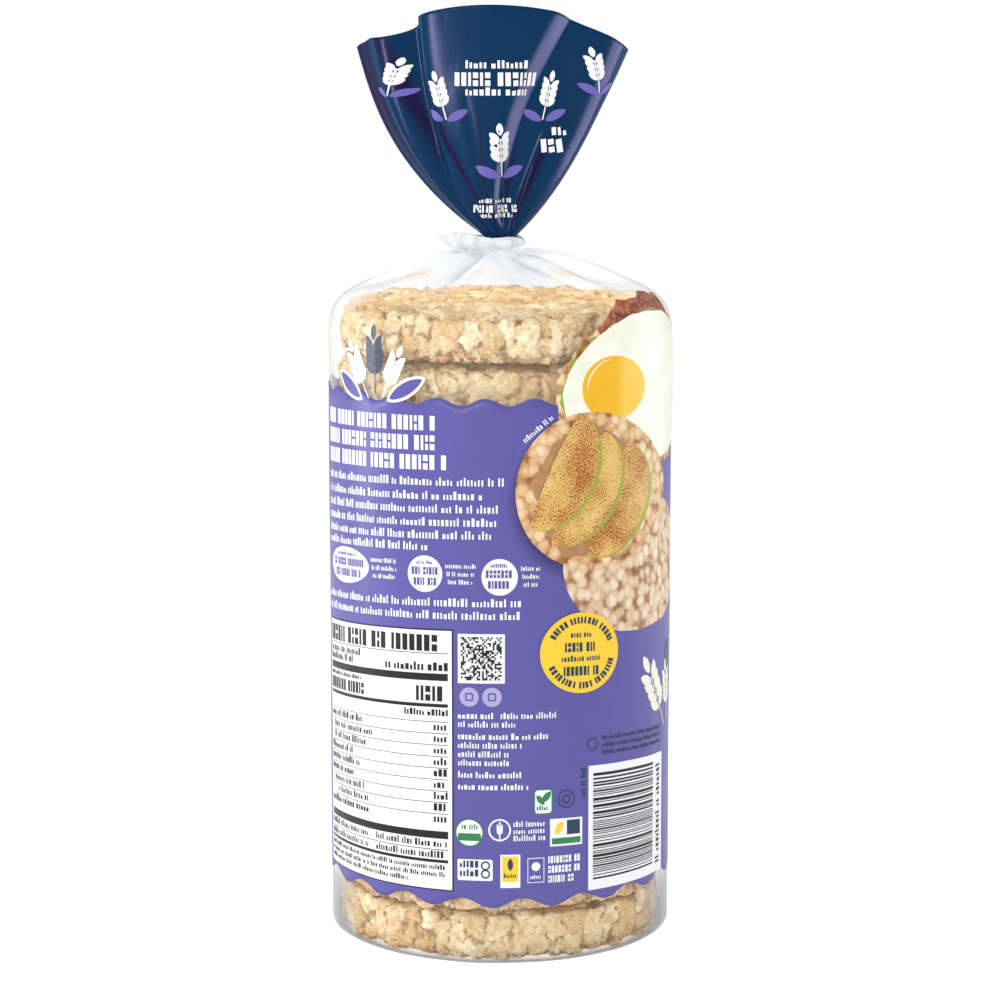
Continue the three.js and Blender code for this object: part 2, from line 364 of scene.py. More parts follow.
def puffed_rice():
    """Puffed rice: cream grains, each a little different, with golden flecks, toasted edges and brown
    cracks that also carry painted shade, painted highlights and a faint painted glow.
    """
    material, tree = new_material("puffed_rice")
    where = object_place(tree)
    cloud = cloudy(tree, where, 5.0, 3.0, 0.55)
    fine = cloudy(tree, where, 0.9, 4.0, 0.6, 0.3)
    pale = mixed(tree, attribute(tree, "tone"), display(250, 237, 198), display(212, 175, 112))
    pale = mixed(tree, sized(tree, cloud, 0.46, 0.66, 0.0, 0.65), pale, display(202, 160, 96))
    patchy = sized(tree, cloudy(tree, where, 2.2, 4.0, 0.6, 0.6), 0.53, 0.6, 0.0, 0.5)
    pale = mixed(tree, patchy, pale, display(196, 144, 76))
    # the cracks' own brown, and painted shade in them
    crack = sized(tree, attribute(tree, "crack"), 0.25, 1.0, 0.0, 0.85)
    crack_brown_and_shade = mixed(tree, crack, pale, display(142, 94, 44))
    speck = cloudy(tree, where, 1.9, 1.5, 0.5)
    golden = sized(tree, speck, 0.58, 0.68, 0.0, 0.5)
    flecked = mixed(tree, golden, crack_brown_and_shade, display(208, 150, 78))
    browned = sized(tree, cloudy(tree, where, 1.7, 2.0, 0.5), 0.5, 0.6)
    browned = worked_out(tree, "MULTIPLY", browned, attribute(tree, "toast"))
    toasted = mixed(tree, browned, flecked, display(150, 96, 48))
    # paler grain and painted highlight on the raised points of the fine bumps
    paint = mixed(tree, sized(tree, fine, 0.46, 0.72, 0.0, 0.5), toasted, display(255, 248, 220))
    # a faint painted glow, for the light that shines through the grains
    body(tree, paint, 0.62, raised(tree, fine, 0.32, 0.85), 0.3, 0.07)
    return material


def flat_place(tree):
    """The flat artwork's own coordinates, in millimetres."""
    source = add(tree, "UVMap", uv_map="flat")
    mapping = add(tree, "Mapping", {"Vector": source.outputs["UV"]})
    mapping.inputs["Scale"].default_value = (100, 100, 100)
    return mapping.outputs["Vector"]


def glossy_print(tree, paint):
    """A printed picture under the film's gloss."""
    where = object_place(tree, (1, 1, 0.16))
    body(tree, paint, 0.32, raised(tree, cloudy(tree, where, 5.0, 4.0, 0.5, 0.4), 0.12), 0.4)


def picture_of_grains(name, grain, pale, deep, gap_colour):
    """A printed rice cake: round pale grains of about this many millimetres, with brown gaps."""
    material, tree = new_material(name)
    flat = flat_place(tree)
    wander = add(tree, "TexNoise", {"Vector": flat, "Scale": 0.5, "Detail": 3.0}).outputs["Color"]
    strayed = add(tree, "VectorMath", {0: wander, 1: (1.8, 1.8, 0)}, operation="MULTIPLY").outputs[0]
    where = add(tree, "VectorMath", {0: flat, 1: strayed}, operation="ADD").outputs[0]
    settings = {"Vector": where, "Scale": 1 / grain, "Randomness": 0.8}
    cells = add(tree, "TexVoronoi", settings).outputs
    each = add(tree, "SeparateColor", {"Color": cells["Color"]}).outputs["Red"]
    tinted = mixed(tree, each, pale, deep)
    brown = sized(tree, cloudy(tree, flat, 4.5, 3.0), 0.38, 0.62, 0.35, 1.0)
    domed = sized(tree, cells["Distance"], 0.42, 0.74, 0.0, 0.95)
    shaded = mixed(tree, worked_out(tree, "MULTIPLY", domed, brown), tinted, gap_colour)
    deepest = sized(tree, cells["Distance"], 0.6, 0.76, 0.0, 0.85)
    dark = mixed(tree, worked_out(tree, "MULTIPLY", deepest, brown), shaded, display(140, 84, 42))
    lit = sized(tree, cells["Distance"], 0.08, 0.36, 0.4, 0.0)
    glossy_print(tree, mixed(tree, lit, dark, display(254, 246, 230)))
    return material


def picture_of_shadow(across, up, radius, paper, shade):
    """A printed soft shadow: darkest at this spot, and the band's own colour at its edge."""
    material, tree = new_material("picture_of_shadow")
    where = flat_place(tree)
    away = add(tree, "VectorMath", {0: where, 1: (across, up, 0)}, operation="DISTANCE")
    depth = sized(tree, away.outputs["Value"], radius - 6, radius - 0.5, 1.0, 0.0)
    glossy_print(tree, mixed(tree, depth, paper, shade))
    return material


def picture_of_egg():
    """Egg white, faintly clouded."""
    material, tree = new_material("picture_of_egg")
    where = flat_place(tree)
    cloud = cloudy(tree, where, 9.0, 4.0, 0.55)
    paint = mixed(tree, sized(tree, cloud, 0.35, 0.65), display(250, 250, 239), display(238, 241, 219))
    glossy_print(tree, paint)
    return material


def picture_of_yolk():
    """Deep yellow, paler towards its right side, where a reflection of the film's highlight is painted
    on it.
    """
    material, tree = new_material("picture_of_yolk")
    where = flat_place(tree)
    across = add(tree, "SeparateXYZ", {"Vector": where}).outputs["X"]
    # painted reflection: the right side of the yolk is paler
    paler = sized(tree, across, 36.0, 39.5)
    paint = mixed(tree, paler, display(242, 184, 22), display(250, 206, 84))
    cloud = sized(tree, cloudy(tree, where, 5.0), 0.4, 0.7, 0.0, 0.5)
    glossy_print(tree, mixed(tree, cloud, paint, display(246, 196, 40)))
    return material


def picture_of_bacon():
    """Red-brown with paler streaks and burnt spots."""
    material, tree = new_material("picture_of_bacon")
    where = flat_place(tree)
    streaks = sized(tree, cloudy(tree, where, 3.4, 3.0, 0.5, 1.6), 0.36, 0.64)
    meat = mixed(tree, streaks, display(128, 52, 34), display(192, 120, 86))
    burnt = sized(tree, cloudy(tree, where, 3.0, 4.0), 0.52, 0.7)
    glossy_print(tree, mixed(tree, burnt, meat, display(74, 34, 26)))
    return material


def picture_of_spread():
    """A smeared brown spread."""
    material, tree = new_material("picture_of_spread")
    smear = cloudy(tree, flat_place(tree), 4.0, 4.0, 0.55, 1.2)
    glossy_print(tree, mixed(tree, smear, display(150, 98, 62), display(208, 158, 112)))
    return material


def picture_of_apple():
    """Pale flesh dusted with cinnamon."""
    material, tree = new_material("picture_of_apple")
    where = flat_place(tree)
    flesh = mixed(tree, cloudy(tree, where, 7.0), display(243, 220, 142), display(228, 190, 98))
    broad = cloudy(tree, where, 10.0, 3.0)
    thick = sized(tree, broad, 0.34, 0.66, 0.6, 0.49)
    dust = cloudy(tree, where, 0.5, 3.0, 0.6)
    spots = worked_out(tree, "GREATER_THAN", dust, thick)
    stain = sized(tree, broad, 0.3, 0.68, 0.1, 0.8)
    tinted = mixed(tree, stain, flesh, display(208, 138, 62))
    glossy_print(tree, mixed(tree, spots, tinted, display(146, 76, 28)))
    return material


# ---- The film bag ----


def rounded(points, times):
    """Cuts the corners of an outline, keeping its two ends."""
    for _ in range(times):
        softer = [points[0]]
        for (r0, h0), (r1, h1) in zip(points, points[1:]):
            softer.append((0.75 * r0 + 0.25 * r1, 0.75 * h0 + 0.25 * h1))
            softer.append((0.25 * r0 + 0.75 * r1, 0.25 * h0 + 0.75 * h1))
        points = softer + [points[-1]]
    return points


SHOULDER = [  # over the top cake's rim, then up the gathers: [radius, height above the stack]
    (FILM_RADIUS, -10.0),
    (FILM_RADIUS, -6.2),
    (FILM_RADIUS - 0.6, -1.6),
    (FILM_RADIUS - 2.8, 2.0),
    (FILM_RADIUS - 7.4, 5.4),
    (FILM_RADIUS - 14.4, 8.2),
    (29.0, 10.8),
    (21.5, 13.2),
    (15.0, 15.1),
    (10.5, 15.9),
    (8.0, 16.1),
    (NECK_RADIUS + 0.5, 16.7),
    (NECK_RADIUS, 17.6),
    (NECK_RADIUS, NECK_TOP - STACK_HEIGHT),
]
FILM_AROUND = 384  # how many vertices go round the film
BAND_AROUND = 414  # and round the band
COLLAR_AROUND = 480  # and round the collar
BASE_LIFT = 0.12  # how far the film's flat base stands off the table
LOW_FILM = 24.0  # from here down the film has painted shade, and a painted sheen at its sides
CLEAR = 0.03  # how white the clearest film is
EDGE_HAZE = 0.92  # how white it is round the bag's lower edge


def film_outline():
    """The film from the middle of its base to its neck: runs, radii and heights."""
    corner = [(0.0, BASE_LIFT)]
    for turn in np.linspace(0, math.pi / 2, 9):
        corner.append((
            FILM_RADIUS - BASE_CORNER * (1 - math.sin(turn)),
            BASE_LIFT + (BASE_CORNER - BASE_LIFT) * (1 - math.cos(turn)),
        ))
    shoulder = rounded([(radius, STACK_HEIGHT + rise) for radius, rise in SHOULDER], 2)
    outline = np.array(corner + shoulder)
    steps = np.hypot(*np.diff(outline, axis=0).T)
    runs = np.concatenate(([0.0], np.cumsum(steps)))
    first_of_side = len(corner) - 1
    runs += outline[first_of_side, 1] - runs[first_of_side]
    return runs, outline[:, 0], outline[:, 1]


RUNS, RADII, HEIGHTS = film_outline()
RUN_START, RUN_END = RUNS[0], RUNS[-1]


def film_radius(run):
    """The film's radius at a run, before its gathers and its ripple."""
    return float(np.interp(run, RUNS, RADII))


def pleat(angle):
    """The gathers' relief at an angle, from -1 in a valley to 1 on a ridge."""
    return math.cos(PLEATS * angle - PLEAT_DRIFT * math.sin(angle - PLEAT_CENTRE))


def pleat_height(radius):
    """The height of the gathers: none at the rim, full half way in, and low at the neck."""
    return PLEAT_HEIGHT * (1 - eased(radius, 24, 46)) * (0.25 + 0.75 * eased(radius, 7, 18))


SHOULDER_CREASES = [  # [degrees at the neck, degrees at the rim, depth in mm, half width in mm]
    (-34, -24, 1.3, 2.4),
    (20, 42, 1.2, 2.0),
    (36, 66, 1.1, 1.8),
    (-64, -80, 1.1, 2.2),
    (84, 98, 1.1, 2.0),
    (-100, -114, 1.2, 2.0),
    (122, 128, 1.2, 2.2),
    (-140, -136, 1.1, 2.0),
    (158, 163, 1.2, 2.0),
    (-172, -166, 1.0, 2.2),
]


def gathers(angle, radius):
    """The few sharp creases that run down the shoulder from the neck, in millimetres."""
    out = (radius - NECK_RADIUS) / (FILM_RADIUS - NECK_RADIUS)
    strength = eased(radius, 49, 27) * eased(radius, 5, 11)
    depth = 0
    for neck, rim, deep, width in SHOULDER_CREASES:
        centre = neck + (rim - neck) * out
        away = abs(nearest_turn(math.degrees(angle) - centre))
        depth += deep * math.exp(-math.radians(away) * radius / width)
    return -strength * depth


def ripple(angle, run):
    """How far the side of the film falls inwards from its full radius."""
    broad = 0.5 + 0.5 * round_noise(angle, 2.2, run / 70)
    narrow = 0.5 + 0.5 * round_noise(angle, 7, run / 55)
    return 0.35 * broad + 0.22 * narrow


def film_spot(angle, run):
    """The point of the film at an angle and a run."""
    radius = film_radius(run)
    height = float(np.interp(run, RUNS, HEIGHTS))
    if height > NECK_FOOT:
        waist = NECK_RELIEF * pleat(angle) if radius > 1 else 0
        return polar(angle, radius + waist, height)
    if run < BASE_CORNER:
        under = eased(run, BASE_CORNER, BASE_CORNER - 4)
        outer = 1 - eased(run, RUN_START + 50, RUN_START + 44)
        height += 0.3 * under * outer * (0.5 + round_noise(angle, 4, 1.7))
    radius -= ripple(angle, run) * eased(radius, 0.75 * FILM_RADIUS, FILM_RADIUS)
    if height > STACK_HEIGHT:
        height += pleat_height(radius) * pleat(angle) + gathers(angle, radius)
    return polar(angle, radius, height)


def film_facing(angle, run):
    """The film's outward direction at an angle and a run."""
    step = 0.4
    across = film_spot(angle + step / FILM_RADIUS, run) - film_spot(angle - step / FILM_RADIUS, run)
    along = film_spot(angle, run + step) - film_spot(angle, run - step)
    return across.cross(along).normalized()


def low_edge(angle):
    """The height of the printed band's lower edge."""
    return PRINT_LOW + LOW_WAVE_HEIGHT * math.cos(LOW_WAVES * (angle - LOW_CREST))


def high_edge(angle):
    """The height of the printed band's upper edge."""
    return PRINT_HIGH + HIGH_WAVE_HEIGHT * math.cos(HIGH_WAVES * (angle - HIGH_CREST))


def under_base(run):
    """From 0 round the bag's lower edge to 1 on its flat base."""
    return eased(run, -1.5, -4.5)


def base_haze(angle, radius):
    """How white the flat base is: the film is double in two side flaps, with a seam across."""
    across, along = abs(radius * math.sin(angle)), abs(radius * math.cos(angle))
    flaps = eased(across - along, -1.5, 1.5)
    seam = eased(along, 3.2, 2.4)
    return 0.28 + 0.24 * flaps + 0.3 * seam


def film_haze(angle, run):
    """How white the film is: clear down the side, milky in the gathers and round its lower edge, with
    a painted sheen at its left and right sides.
    """
    radius = film_radius(run)
    front = eased(math.cos(angle), 0.2, 0.8)
    gathered = eased(radius, 47 - 16 * front, 33 - 9 * front) if run > PRINT_HIGH else 0
    # at_sides: a painted sheen, whiter film where the sides are seen edge-on, near the shoulder and
    # low down
    at_sides = eased(abs(math.sin(angle)), 0.78, 0.98)
    corner = at_sides * eased(run, STACK_HEIGHT - 4, STACK_HEIGHT + 5) * (1 - gathered)
    folded = eased(run, BASE_CORNER + 0.4, BASE_CORNER - 0.8)
    low = 0.5 * at_sides * eased(run, LOW_FILM, LOW_FILM - 10) * (1 - folded)
    folded *= EDGE_HAZE + (base_haze(angle, radius) - EDGE_HAZE) * under_base(run)
    return CLEAR + 0.92 * gathered + 0.4 * corner + folded + low


def film_shade(angle, run):
    """How much painted shade is on the film: in the gathers' creases, low down its side, and where it
    turns under the lowest cake.
    """
    if run > STACK_HEIGHT:
        return min(0.4 * -gathers(angle, film_radius(run)), 0.6)
    low = 0.95 * eased(run, LOW_FILM, LOW_FILM - 10)
    corner = eased(run, 2.5, 1.3) * (1 - 0.5 * eased(run, 0.6, -0.8))
    return max(low, corner) * (1 - 0.8 * under_base(run))


def make_bag_film(material):
    """The whole clear film, closed from the middle of the base to the neck."""
    base_rows = np.linspace(RUN_START, -1.8, 14)
    corner_rows = np.linspace(-1.2, BASE_CORNER, 8)
    side_rows = np.linspace(BASE_CORNER + 1.5, STACK_HEIGHT - 10, 70)
    shoulder_rows = np.linspace(STACK_HEIGHT - 9, RUN_END, 78)
    shape = tube([*base_rows, *corner_rows, *side_rows, *shoulder_rows], FILM_AROUND)
    haze = shape.verts.layers.float.new("haze")
    # shade: the painted shade that the film's finish greys it by
    shade = shape.verts.layers.float.new("shade")
    for vertex in shape.verts:
        vertex[haze] = film_haze(angle_of(vertex.co), vertex.co.z)
        vertex[shade] = film_shade(angle_of(vertex.co), vertex.co.z)

    def spot(angle, run):
        if run <= RUN_START:
            return Vector((0, 0, BASE_LIFT))
        return film_spot(angle, run)

    place(shape, spot)
    close_ends(shape)
    film = finished(shape, "bag_film", "clear_film", material)
    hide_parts("bag")
    film.visible_shadow = False


# ---- The printed band ----

INK_LIFT = 0.08  # the band's ink above the film
INK_THICKNESS = 0.05


def make_band(material):
    """The violet band: a skin of ink all round the bag between its two wavy edges."""
    rows = 60
    outside = [row / rows for row in range(rows + 1)]
    inside = [2 + row / rows for row in range(rows + 1)]
    shape = tube(outside + inside, BAND_AROUND)

    def spot(angle, share):
        inner = share > 1.5
        height = 3 - share if inner else share
        run = low_edge(angle) + (high_edge(angle) - low_edge(angle)) * height
        lift = INK_LIFT - INK_THICKNESS if inner else INK_LIFT
        return polar(angle, FILM_RADIUS + lift - ripple(angle, run), run)

    place(shape, spot)
    ends = [edge for edge in shape.edges if edge.is_boundary]
    bmesh.ops.bridge_loops(shape, edges=ends)
    bmesh.ops.recalc_face_normals(shape, faces=shape.faces)
    band = finished(shape, "band_ink", "printed_film", material)
    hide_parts("printed_band")


# ---- The collar ----

COLLAR_FOLDS = [  # [degrees from -Y, depth as a share of the radius, half width in degrees]
    (-44, 0.2, 8),
    (-120, 0.3, 9),
    (-145, 0.46, 11),
    (-172, 0.36, 10),
    (159, 0.48, 10),
    (133, 0.36, 10),
    (112, 0.22, 8),
    (45, 0.05, 12),
]
FOLD_RISE = 0.55  # the share of the collar's height where its folds reach full depth
FULL_WIDTH = 3.0  # how soon the collar's lower part opens out sideways
STRAIGHT = 0.57  # the share of its width that it gains evenly with its height
FULL_DEPTH = 1.3  # how soon it opens out from front to back
EDGE_DROPS = [  # where folds run out in the upper edge: [degrees, depth in mm, half width in degrees]
    (-52, 2.4, 12),
    (-136, 5.0, 16),
]
COLLAR_STEPS = [  # where the film drops beside a fold's edge, to its right or, below 0, to its left
    # [degrees at the neck, degrees at the edge, bend, drop in mm, degrees wide, from, up to]
    (0.5, 31.0, 1.2, 4.1, 15, 0.1, 2.0),
    (23.5, 52.5, 1.0, 0.6, 3, 0.05, 0.55),
    (-60, -66, 1.0, -0.9, 8, 0.0, 2.0),
    (-88, -86, 1.0, 0.9, 8, 0.0, 2.0),
    (120, 121, 1.0, 1.2, 9, 0.0, 2.0),
    (172, 176, 1.0, -1.3, 10, 0.0, 2.0),
    (-132, -131, 1.0, -1.1, 9, 0.0, 2.0),
]
COLLAR_CREASES = [  # [degrees at the neck, degrees at the edge, depth in mm, half width, up to]
    (-10, -12, 0.6, 2.0, 0.6),
    (9, 16, 0.5, 2.0, 0.4),
    (36, 46, 0.7, 2.5, 0.45),
    (-24, -26, 0.6, 2.2, 0.4),
    (-46, -48, 0.8, 3.0, 0.7),
    (88, 90, 0.8, 3.0, 0.8),
    (-104, -102, 0.8, 3.0, 0.8),
    (146, 147, 0.9, 4.0, 0.9),
]
COLLAR_SHADES = [  # deep folds with little light
    # [degrees at the neck, degrees at the edge, bend, width, up to]
    (-62, -84, 0.6, 15, 2.0),
    (4, -43, 0.4, 3.2, 0.8),
    (-24, -56, 0.5, 4.0, 2.0),
    (-6, -9, 1.0, 2.2, 0.7),
    (30, 58, 0.7, 5.0, 0.7),
    (16, 22, 0.8, 2.0, 0.5),
    (92, 96, 1.0, 6.0, 2.0),
    (-128, -134, 1.0, 9.0, 2.0),
    (176, 178, 1.0, 6.0, 0.9),
    (150, 144, 1.0, 7.0, 2.0),
]
STEM_FOOT = NECK_TOP + GAP  # where the collar starts, inside the tape
COLLAR_MOUTH = TAPE_HIGH + GAP  # and where it opens out
COLLAR_FILM = 0.3  # wall of the collar's film
COLLAR_FLOOR = 0.12  # the share of its height at which the cup's inside ends


def dent(degrees, centre, half_width):
    """A dent of depth 1 centred on an angle, all in degrees."""
    return math.exp(-((nearest_turn(degrees - centre) / half_width) ** 2))


def fold_share(angle, rise):
    """The share of the collar's radius that is left at an angle, at this share of its height."""
    degrees = math.degrees(angle)
    lost = sum(depth * dent(degrees, centre, width) for centre, depth, width in COLLAR_FOLDS)
    return 1 - lost * smooth(rise / FOLD_RISE)


def from_line(degrees, foot, edge, share):
    """How many degrees a direction is past a line that leans from its foot to its edge."""
    return nearest_turn(degrees - foot - (edge - foot) * share)


def relief(angle, rise):
    """The long soft steps and creases that run up the collar out of the neck, in millimetres."""
    degrees = math.degrees(angle)
    height = 0.3 * round_noise(angle, 2, 1.2 * rise)
    for foot, edge, bend, drop, width, low, high in COLLAR_STEPS:
        past = from_line(degrees, foot, edge, rise ** bend)
        near = math.exp(-((past / (2.5 * width)) ** 2))
        here = eased(rise, low - 0.15, low) * eased(rise, high, high - 0.15)
        ramp = min(max(past / width + 0.5, 0.0), 1.0)
        height += drop * near * here * (0.5 - (0.75 * ramp + 0.25 * smooth(ramp)))
    for foot, edge, depth, width, top in COLLAR_CREASES:
        past = from_line(degrees, foot, edge, rise)
        height -= depth * math.exp(-abs(past) / width) * (1 - eased(rise, top - 0.2, top + 0.1))
    return height * eased(rise, -0.04, 0.16)


def fold_shade(angle, rise):
    """How much painted shade this place of the collar gets, from 0 to 1, most deep in a fold."""
    degrees = math.degrees(angle)
    wander = 3 * round_noise(angle, 2, 3 * rise)
    shade = 0
    for foot, edge, bend, width, top in COLLAR_SHADES:
        past = from_line(degrees + wander, foot, edge, rise ** bend)
        here = eased(rise, top, top - 0.3) * (0.75 + 0.25 * math.cos(7 * rise + foot))
        shade = max(shade, here * math.exp(-((past / width) ** 2)))
    return shade


def collar_edge(angle):
    """The height of the collar's upper edge."""
    degrees = math.degrees(angle)
    drop = sum(depth * dent(degrees, centre, width) for centre, depth, width in EDGE_DROPS)
    crown = COLLAR_CROWN * abs(math.cos(angle)) ** 1.5
    return COLLAR_SIDE_TOP + crown - COLLAR_TILT * math.sin(angle) - drop


def collar_reach(rise):
    """The half width and half depth of the collar without its folds."""
    opened = STRAIGHT * rise + (1 - STRAIGHT) * (1 - (1 - rise) ** FULL_WIDTH)
    x = NECK_RADIUS + (COLLAR_HALF_WIDTH - NECK_RADIUS) * opened
    y = NECK_RADIUS + (COLLAR_HALF_DEPTH - NECK_RADIUS) * (1 - (1 - rise) ** FULL_DEPTH)
    return x, y


def collar_aside(rise):
    """How far the collar's middle stands towards -X."""
    return COLLAR_LEAN * rise + COLLAR_BELLY * math.sin(math.pi * rise)


def collar_spot(angle, rise, lift=0.0):
    """A point of the collar: rise is -1 at the foot of its stem, 0 at the tape and 1 at its edge."""
    spread = max(rise, 0)
    x, y = collar_reach(spread)
    if rise < 0:
        height = COLLAR_MOUTH + (COLLAR_MOUTH - STEM_FOOT) * rise
    else:
        height = COLLAR_MOUTH + (collar_edge(angle) - COLLAR_MOUTH) * rise
    flat = Vector((x * math.sin(angle), -y * math.cos(angle), 0))
    radius = flat.length * fold_share(angle, spread) + lift + relief(angle, spread)
    point = flat.normalized() * radius
    return Vector((point.x - collar_aside(spread), point.y, height))


def make_collar(outside_film, inside_film):
    """The ruffled collar: an open cup of thin film, closed at the tape."""
    outer = [-1, -0.5, *np.linspace(0, 1, 72)]
    inner = [2 + share for share in np.linspace(0, 1 - COLLAR_FLOOR, 60)]
    shape = tube(outer + inner, COLLAR_AROUND)
    for face in shape.faces:
        face.material_index = 1 if face.calc_center_median().z > 1.5 else 0
    # the painted shade in the collar's folds, which its inks darken by
    shade = shape.verts.layers.float.new("shade")
    for vertex in shape.verts:
        rise = vertex.co.z if vertex.co.z < 1.5 else 3 - vertex.co.z
        vertex[shade] = fold_shade(angle_of(vertex.co), max(rise, 0))

    def spot(angle, row):
        if row >= 2:
            return collar_spot(angle, 3 - row, -COLLAR_FILM)
        return collar_spot(angle, row)

    place(shape, spot)
    close_ends(shape)
    collar = finished(shape, "collar_film", "collar_film", outside_film, inside_film)
    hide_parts("collar")
    return collar


# ---- The print ----
#
# Artwork is drawn flat, in millimetres: across from the middle of the front, and up as a run of the
# film. A sheet holds the shapes of one ink, and a higher layer lies on a lower one. Rows of words are
# rows of small plain blocks.

LAYER = 0.04  # from one layer of artwork to the next
CUT = 2.5  # the larger shapes are cut this fine, so that they follow the film
PRINT_BOW = 5.0  # how far the print sags towards the sides of the front, at mid height
SIDE_START = 48.0  # past this far out, artwork drawn as seen from the front runs on round the side
SIDE_STRETCH = 1.3
PRINT_LEFT = -70.0  # where the rows at the left of the front begin
PRINT_COLUMN = -12.2  # and those of its middle column
BACK = 161.5  # the middle of the bag's back
COLLAR_BACK = 200.0  # artwork this far aside of a spot on the collar's front is behind that spot
FLAT_SHARE = 0.8  # the share of the collar's half width that its artwork crosses undistorted
SIDE_TURN = 1.7  # radians for each share past that
SIDE_SHARE = 0.38  # how far past that it may go
HIGHEST_ART = 0.985  # the share of the collar's height that its artwork keeps below
BOW_FOOT = 5.0  # the print does not sag at this height
BOW_SPAN = STACK_HEIGHT + 3  # nor this far above it


class Sheet:
    """The artwork of one ink: its larger shapes, and the small marks that are stamped on."""

    def __init__(self):
        self.shape = bmesh.new()
        self.marks = []


def block(sheet, left, low, right, high, layer=1, corner=0.0, turn=0.0):
    """A rectangle of ink, turned by degrees. Its corners are rounded when a corner is given."""
    spot = Matrix.Translation(Vector(((left + right) / 2, (low + high) / 2, layer * LAYER)))
    sized_to = Matrix.Diagonal((right - left, high - low, 1, 1))
    matrix = spot @ Matrix.Rotation(math.radians(turn), 4, "Z") @ sized_to
    made = bmesh.ops.create_grid(sheet.shape, x_segments=1, y_segments=1, size=0.5, matrix=matrix)
    if corner:
        made = bmesh.ops.bevel(
            sheet.shape,
            geom=made["verts"],
            offset=corner,
            segments=3,
            profile=0.5,
            affect="VERTICES",
            material=-1,
        )
    return made["verts"][0].link_faces[0]


def disc(sheet, across, up, width, height=None, layer=1, segments=40):
    """A round or oval spot of ink, given by its half width and half height."""
    spot = Matrix.Translation(Vector((across, up, layer * LAYER)))
    matrix = spot @ Matrix.Diagonal((width, height or width, 1, 1))
    made = bmesh.ops.create_circle(
        sheet.shape, cap_ends=True, segments=segments, radius=1, matrix=matrix
    )
    return made["verts"][0].link_faces[0]


def hollow(sheet, face, width):
    """Leaves only a border of this width of a shape."""
    bmesh.ops.inset_individual(sheet.shape, faces=[face], thickness=width)
    bmesh.ops.delete(sheet.shape, geom=[face], context="FACES")


def half_moon(sheet, foot, tip, bulge, back, layer):
    """A shape with two points that bulges more to the right of the line from foot to tip."""
    foot, tip = Vector(foot), Vector(tip)
    middle, half = (foot + tip) / 2, (tip - foot) / 2
    aside = Vector((half.y, -half.x)).normalized()
    made = bmesh.ops.create_circle(sheet.shape, cap_ends=True, segments=40, radius=1)
    for vertex in made["verts"]:
        reach = bulge if vertex.co.y > 0 else back
        spot = middle + half * vertex.co.x + aside * vertex.co.y * reach
        vertex.co = (spot.x, spot.y, layer * LAYER)


def leaf(sheet, across, up, length, width, turn, layer=1):
    """A pointed leaf or grain, its length turned by degrees from level."""
    made = bmesh.ops.create_circle(sheet.shape, cap_ends=True, segments=20, radius=1)
    spot = Matrix.Translation(Vector((across, up, layer * LAYER)))
    matrix = spot @ Matrix.Rotation(math.radians(turn), 4, "Z")
    for vertex in made["verts"]:
        pinch = abs(vertex.co.y) ** 0.5
        flat = Vector((vertex.co.x * length / 2, vertex.co.y * pinch * width / 2, 0))
        vertex.co = matrix @ flat


def sprig(stem_ink, grain_ink, across, up, size, turn, layer=1, pairs=4):
    """A rice ear: a stem with pairs of grains and one at its tip, pointing up before its turn."""
    lean = Matrix.Rotation(math.radians(turn), 2)
    grain = size * 0.26

    def spot(aside, along):
        return Vector((across, up)) + lean @ Vector((aside, along))

    foot = spot(0, -size * 0.1)
    stem = (foot.x - size * 0.4, foot.y - 0.2, foot.x + size * 0.4, foot.y + 0.2)
    block(stem_ink, *stem, layer, 0.0, turn + 90)
    for pair in range(pairs):
        along = size * (0.42 * pair / max(pairs - 1, 1) - 0.08)
        for side in (-1, 1):
            place_on = spot(side * grain * 0.42, along)
            leaf(grain_ink, place_on.x, place_on.y, grain, grain * 0.5, turn + 90 - side * 38, layer)
    tip = spot(0, size * 0.5)
    leaf(grain_ink, tip.x, tip.y, grain, grain * 0.5, turn + 90, layer)


def words(sheet, dice, left, right, middle, height, layer=1, turn=0.0, bold=False):
    """A row of small upright blocks, grouped as words are, turned about its left end."""
    lean = Vector((math.cos(math.radians(turn)), math.sin(math.radians(turn))))
    at = 0
    while at < right - left - height / 2:
        for _ in range(dice.randint(2, 9)):
            width = height * dice.choice((0.3, 0.3, 0.5)) * (1.3 if bold else 1.0)
            if at + width > right - left:
                return
            tall = height * dice.choice((0.8, 1.0, 1.0, 1.35))
            rise = (tall - height) / 2
            spot = Vector((left - lean.y * rise, middle + lean.x * rise)) + lean * (at + width / 2)
            sheet.marks.append((spot.x, spot.y, width, tall, layer, turn))
            at += width + 0.28 * height
        at += 0.5 * height


def heading(sheet, dice, left, right, middle, height, layer=1):
    """A row of heavy upright blocks, grouped as words are, some of them one above another."""
    at = left
    while at < right - height / 3:
        for _ in range(dice.randint(3, 8)):
            width = height * dice.choice((0.2, 0.36, 0.36))
            if at + width > right:
                return
            across = at + width / 2
            if dice.random() < 0.2:
                for side in (-1, 1):
                    up = middle + side * 0.29 * height
                    sheet.marks.append((across, up, width, 0.42 * height, layer, 0.0))
            else:
                sheet.marks.append((across, middle, width, height, layer, 0.0))
            at += width + 0.14 * height
        at += 0.35 * height


def word_arc(sheet, dice, across, up, radius, start, stop, height, layer):
    """Small heavy blocks set round an arc, between two angles in degrees."""
    at = start
    while at < stop:
        for _ in range(dice.randint(4, 9)):
            share = dice.choice((0.34, 0.5))
            middle = math.radians(at)
            x = across + radius * 1.08 * math.cos(middle)
            y = up + radius * math.sin(middle)
            sheet.marks.append((x, y, share * height, height, layer, at - 90))
            at += math.degrees((share + 0.2) * height / radius)
        at += math.degrees(0.4 * height / radius)


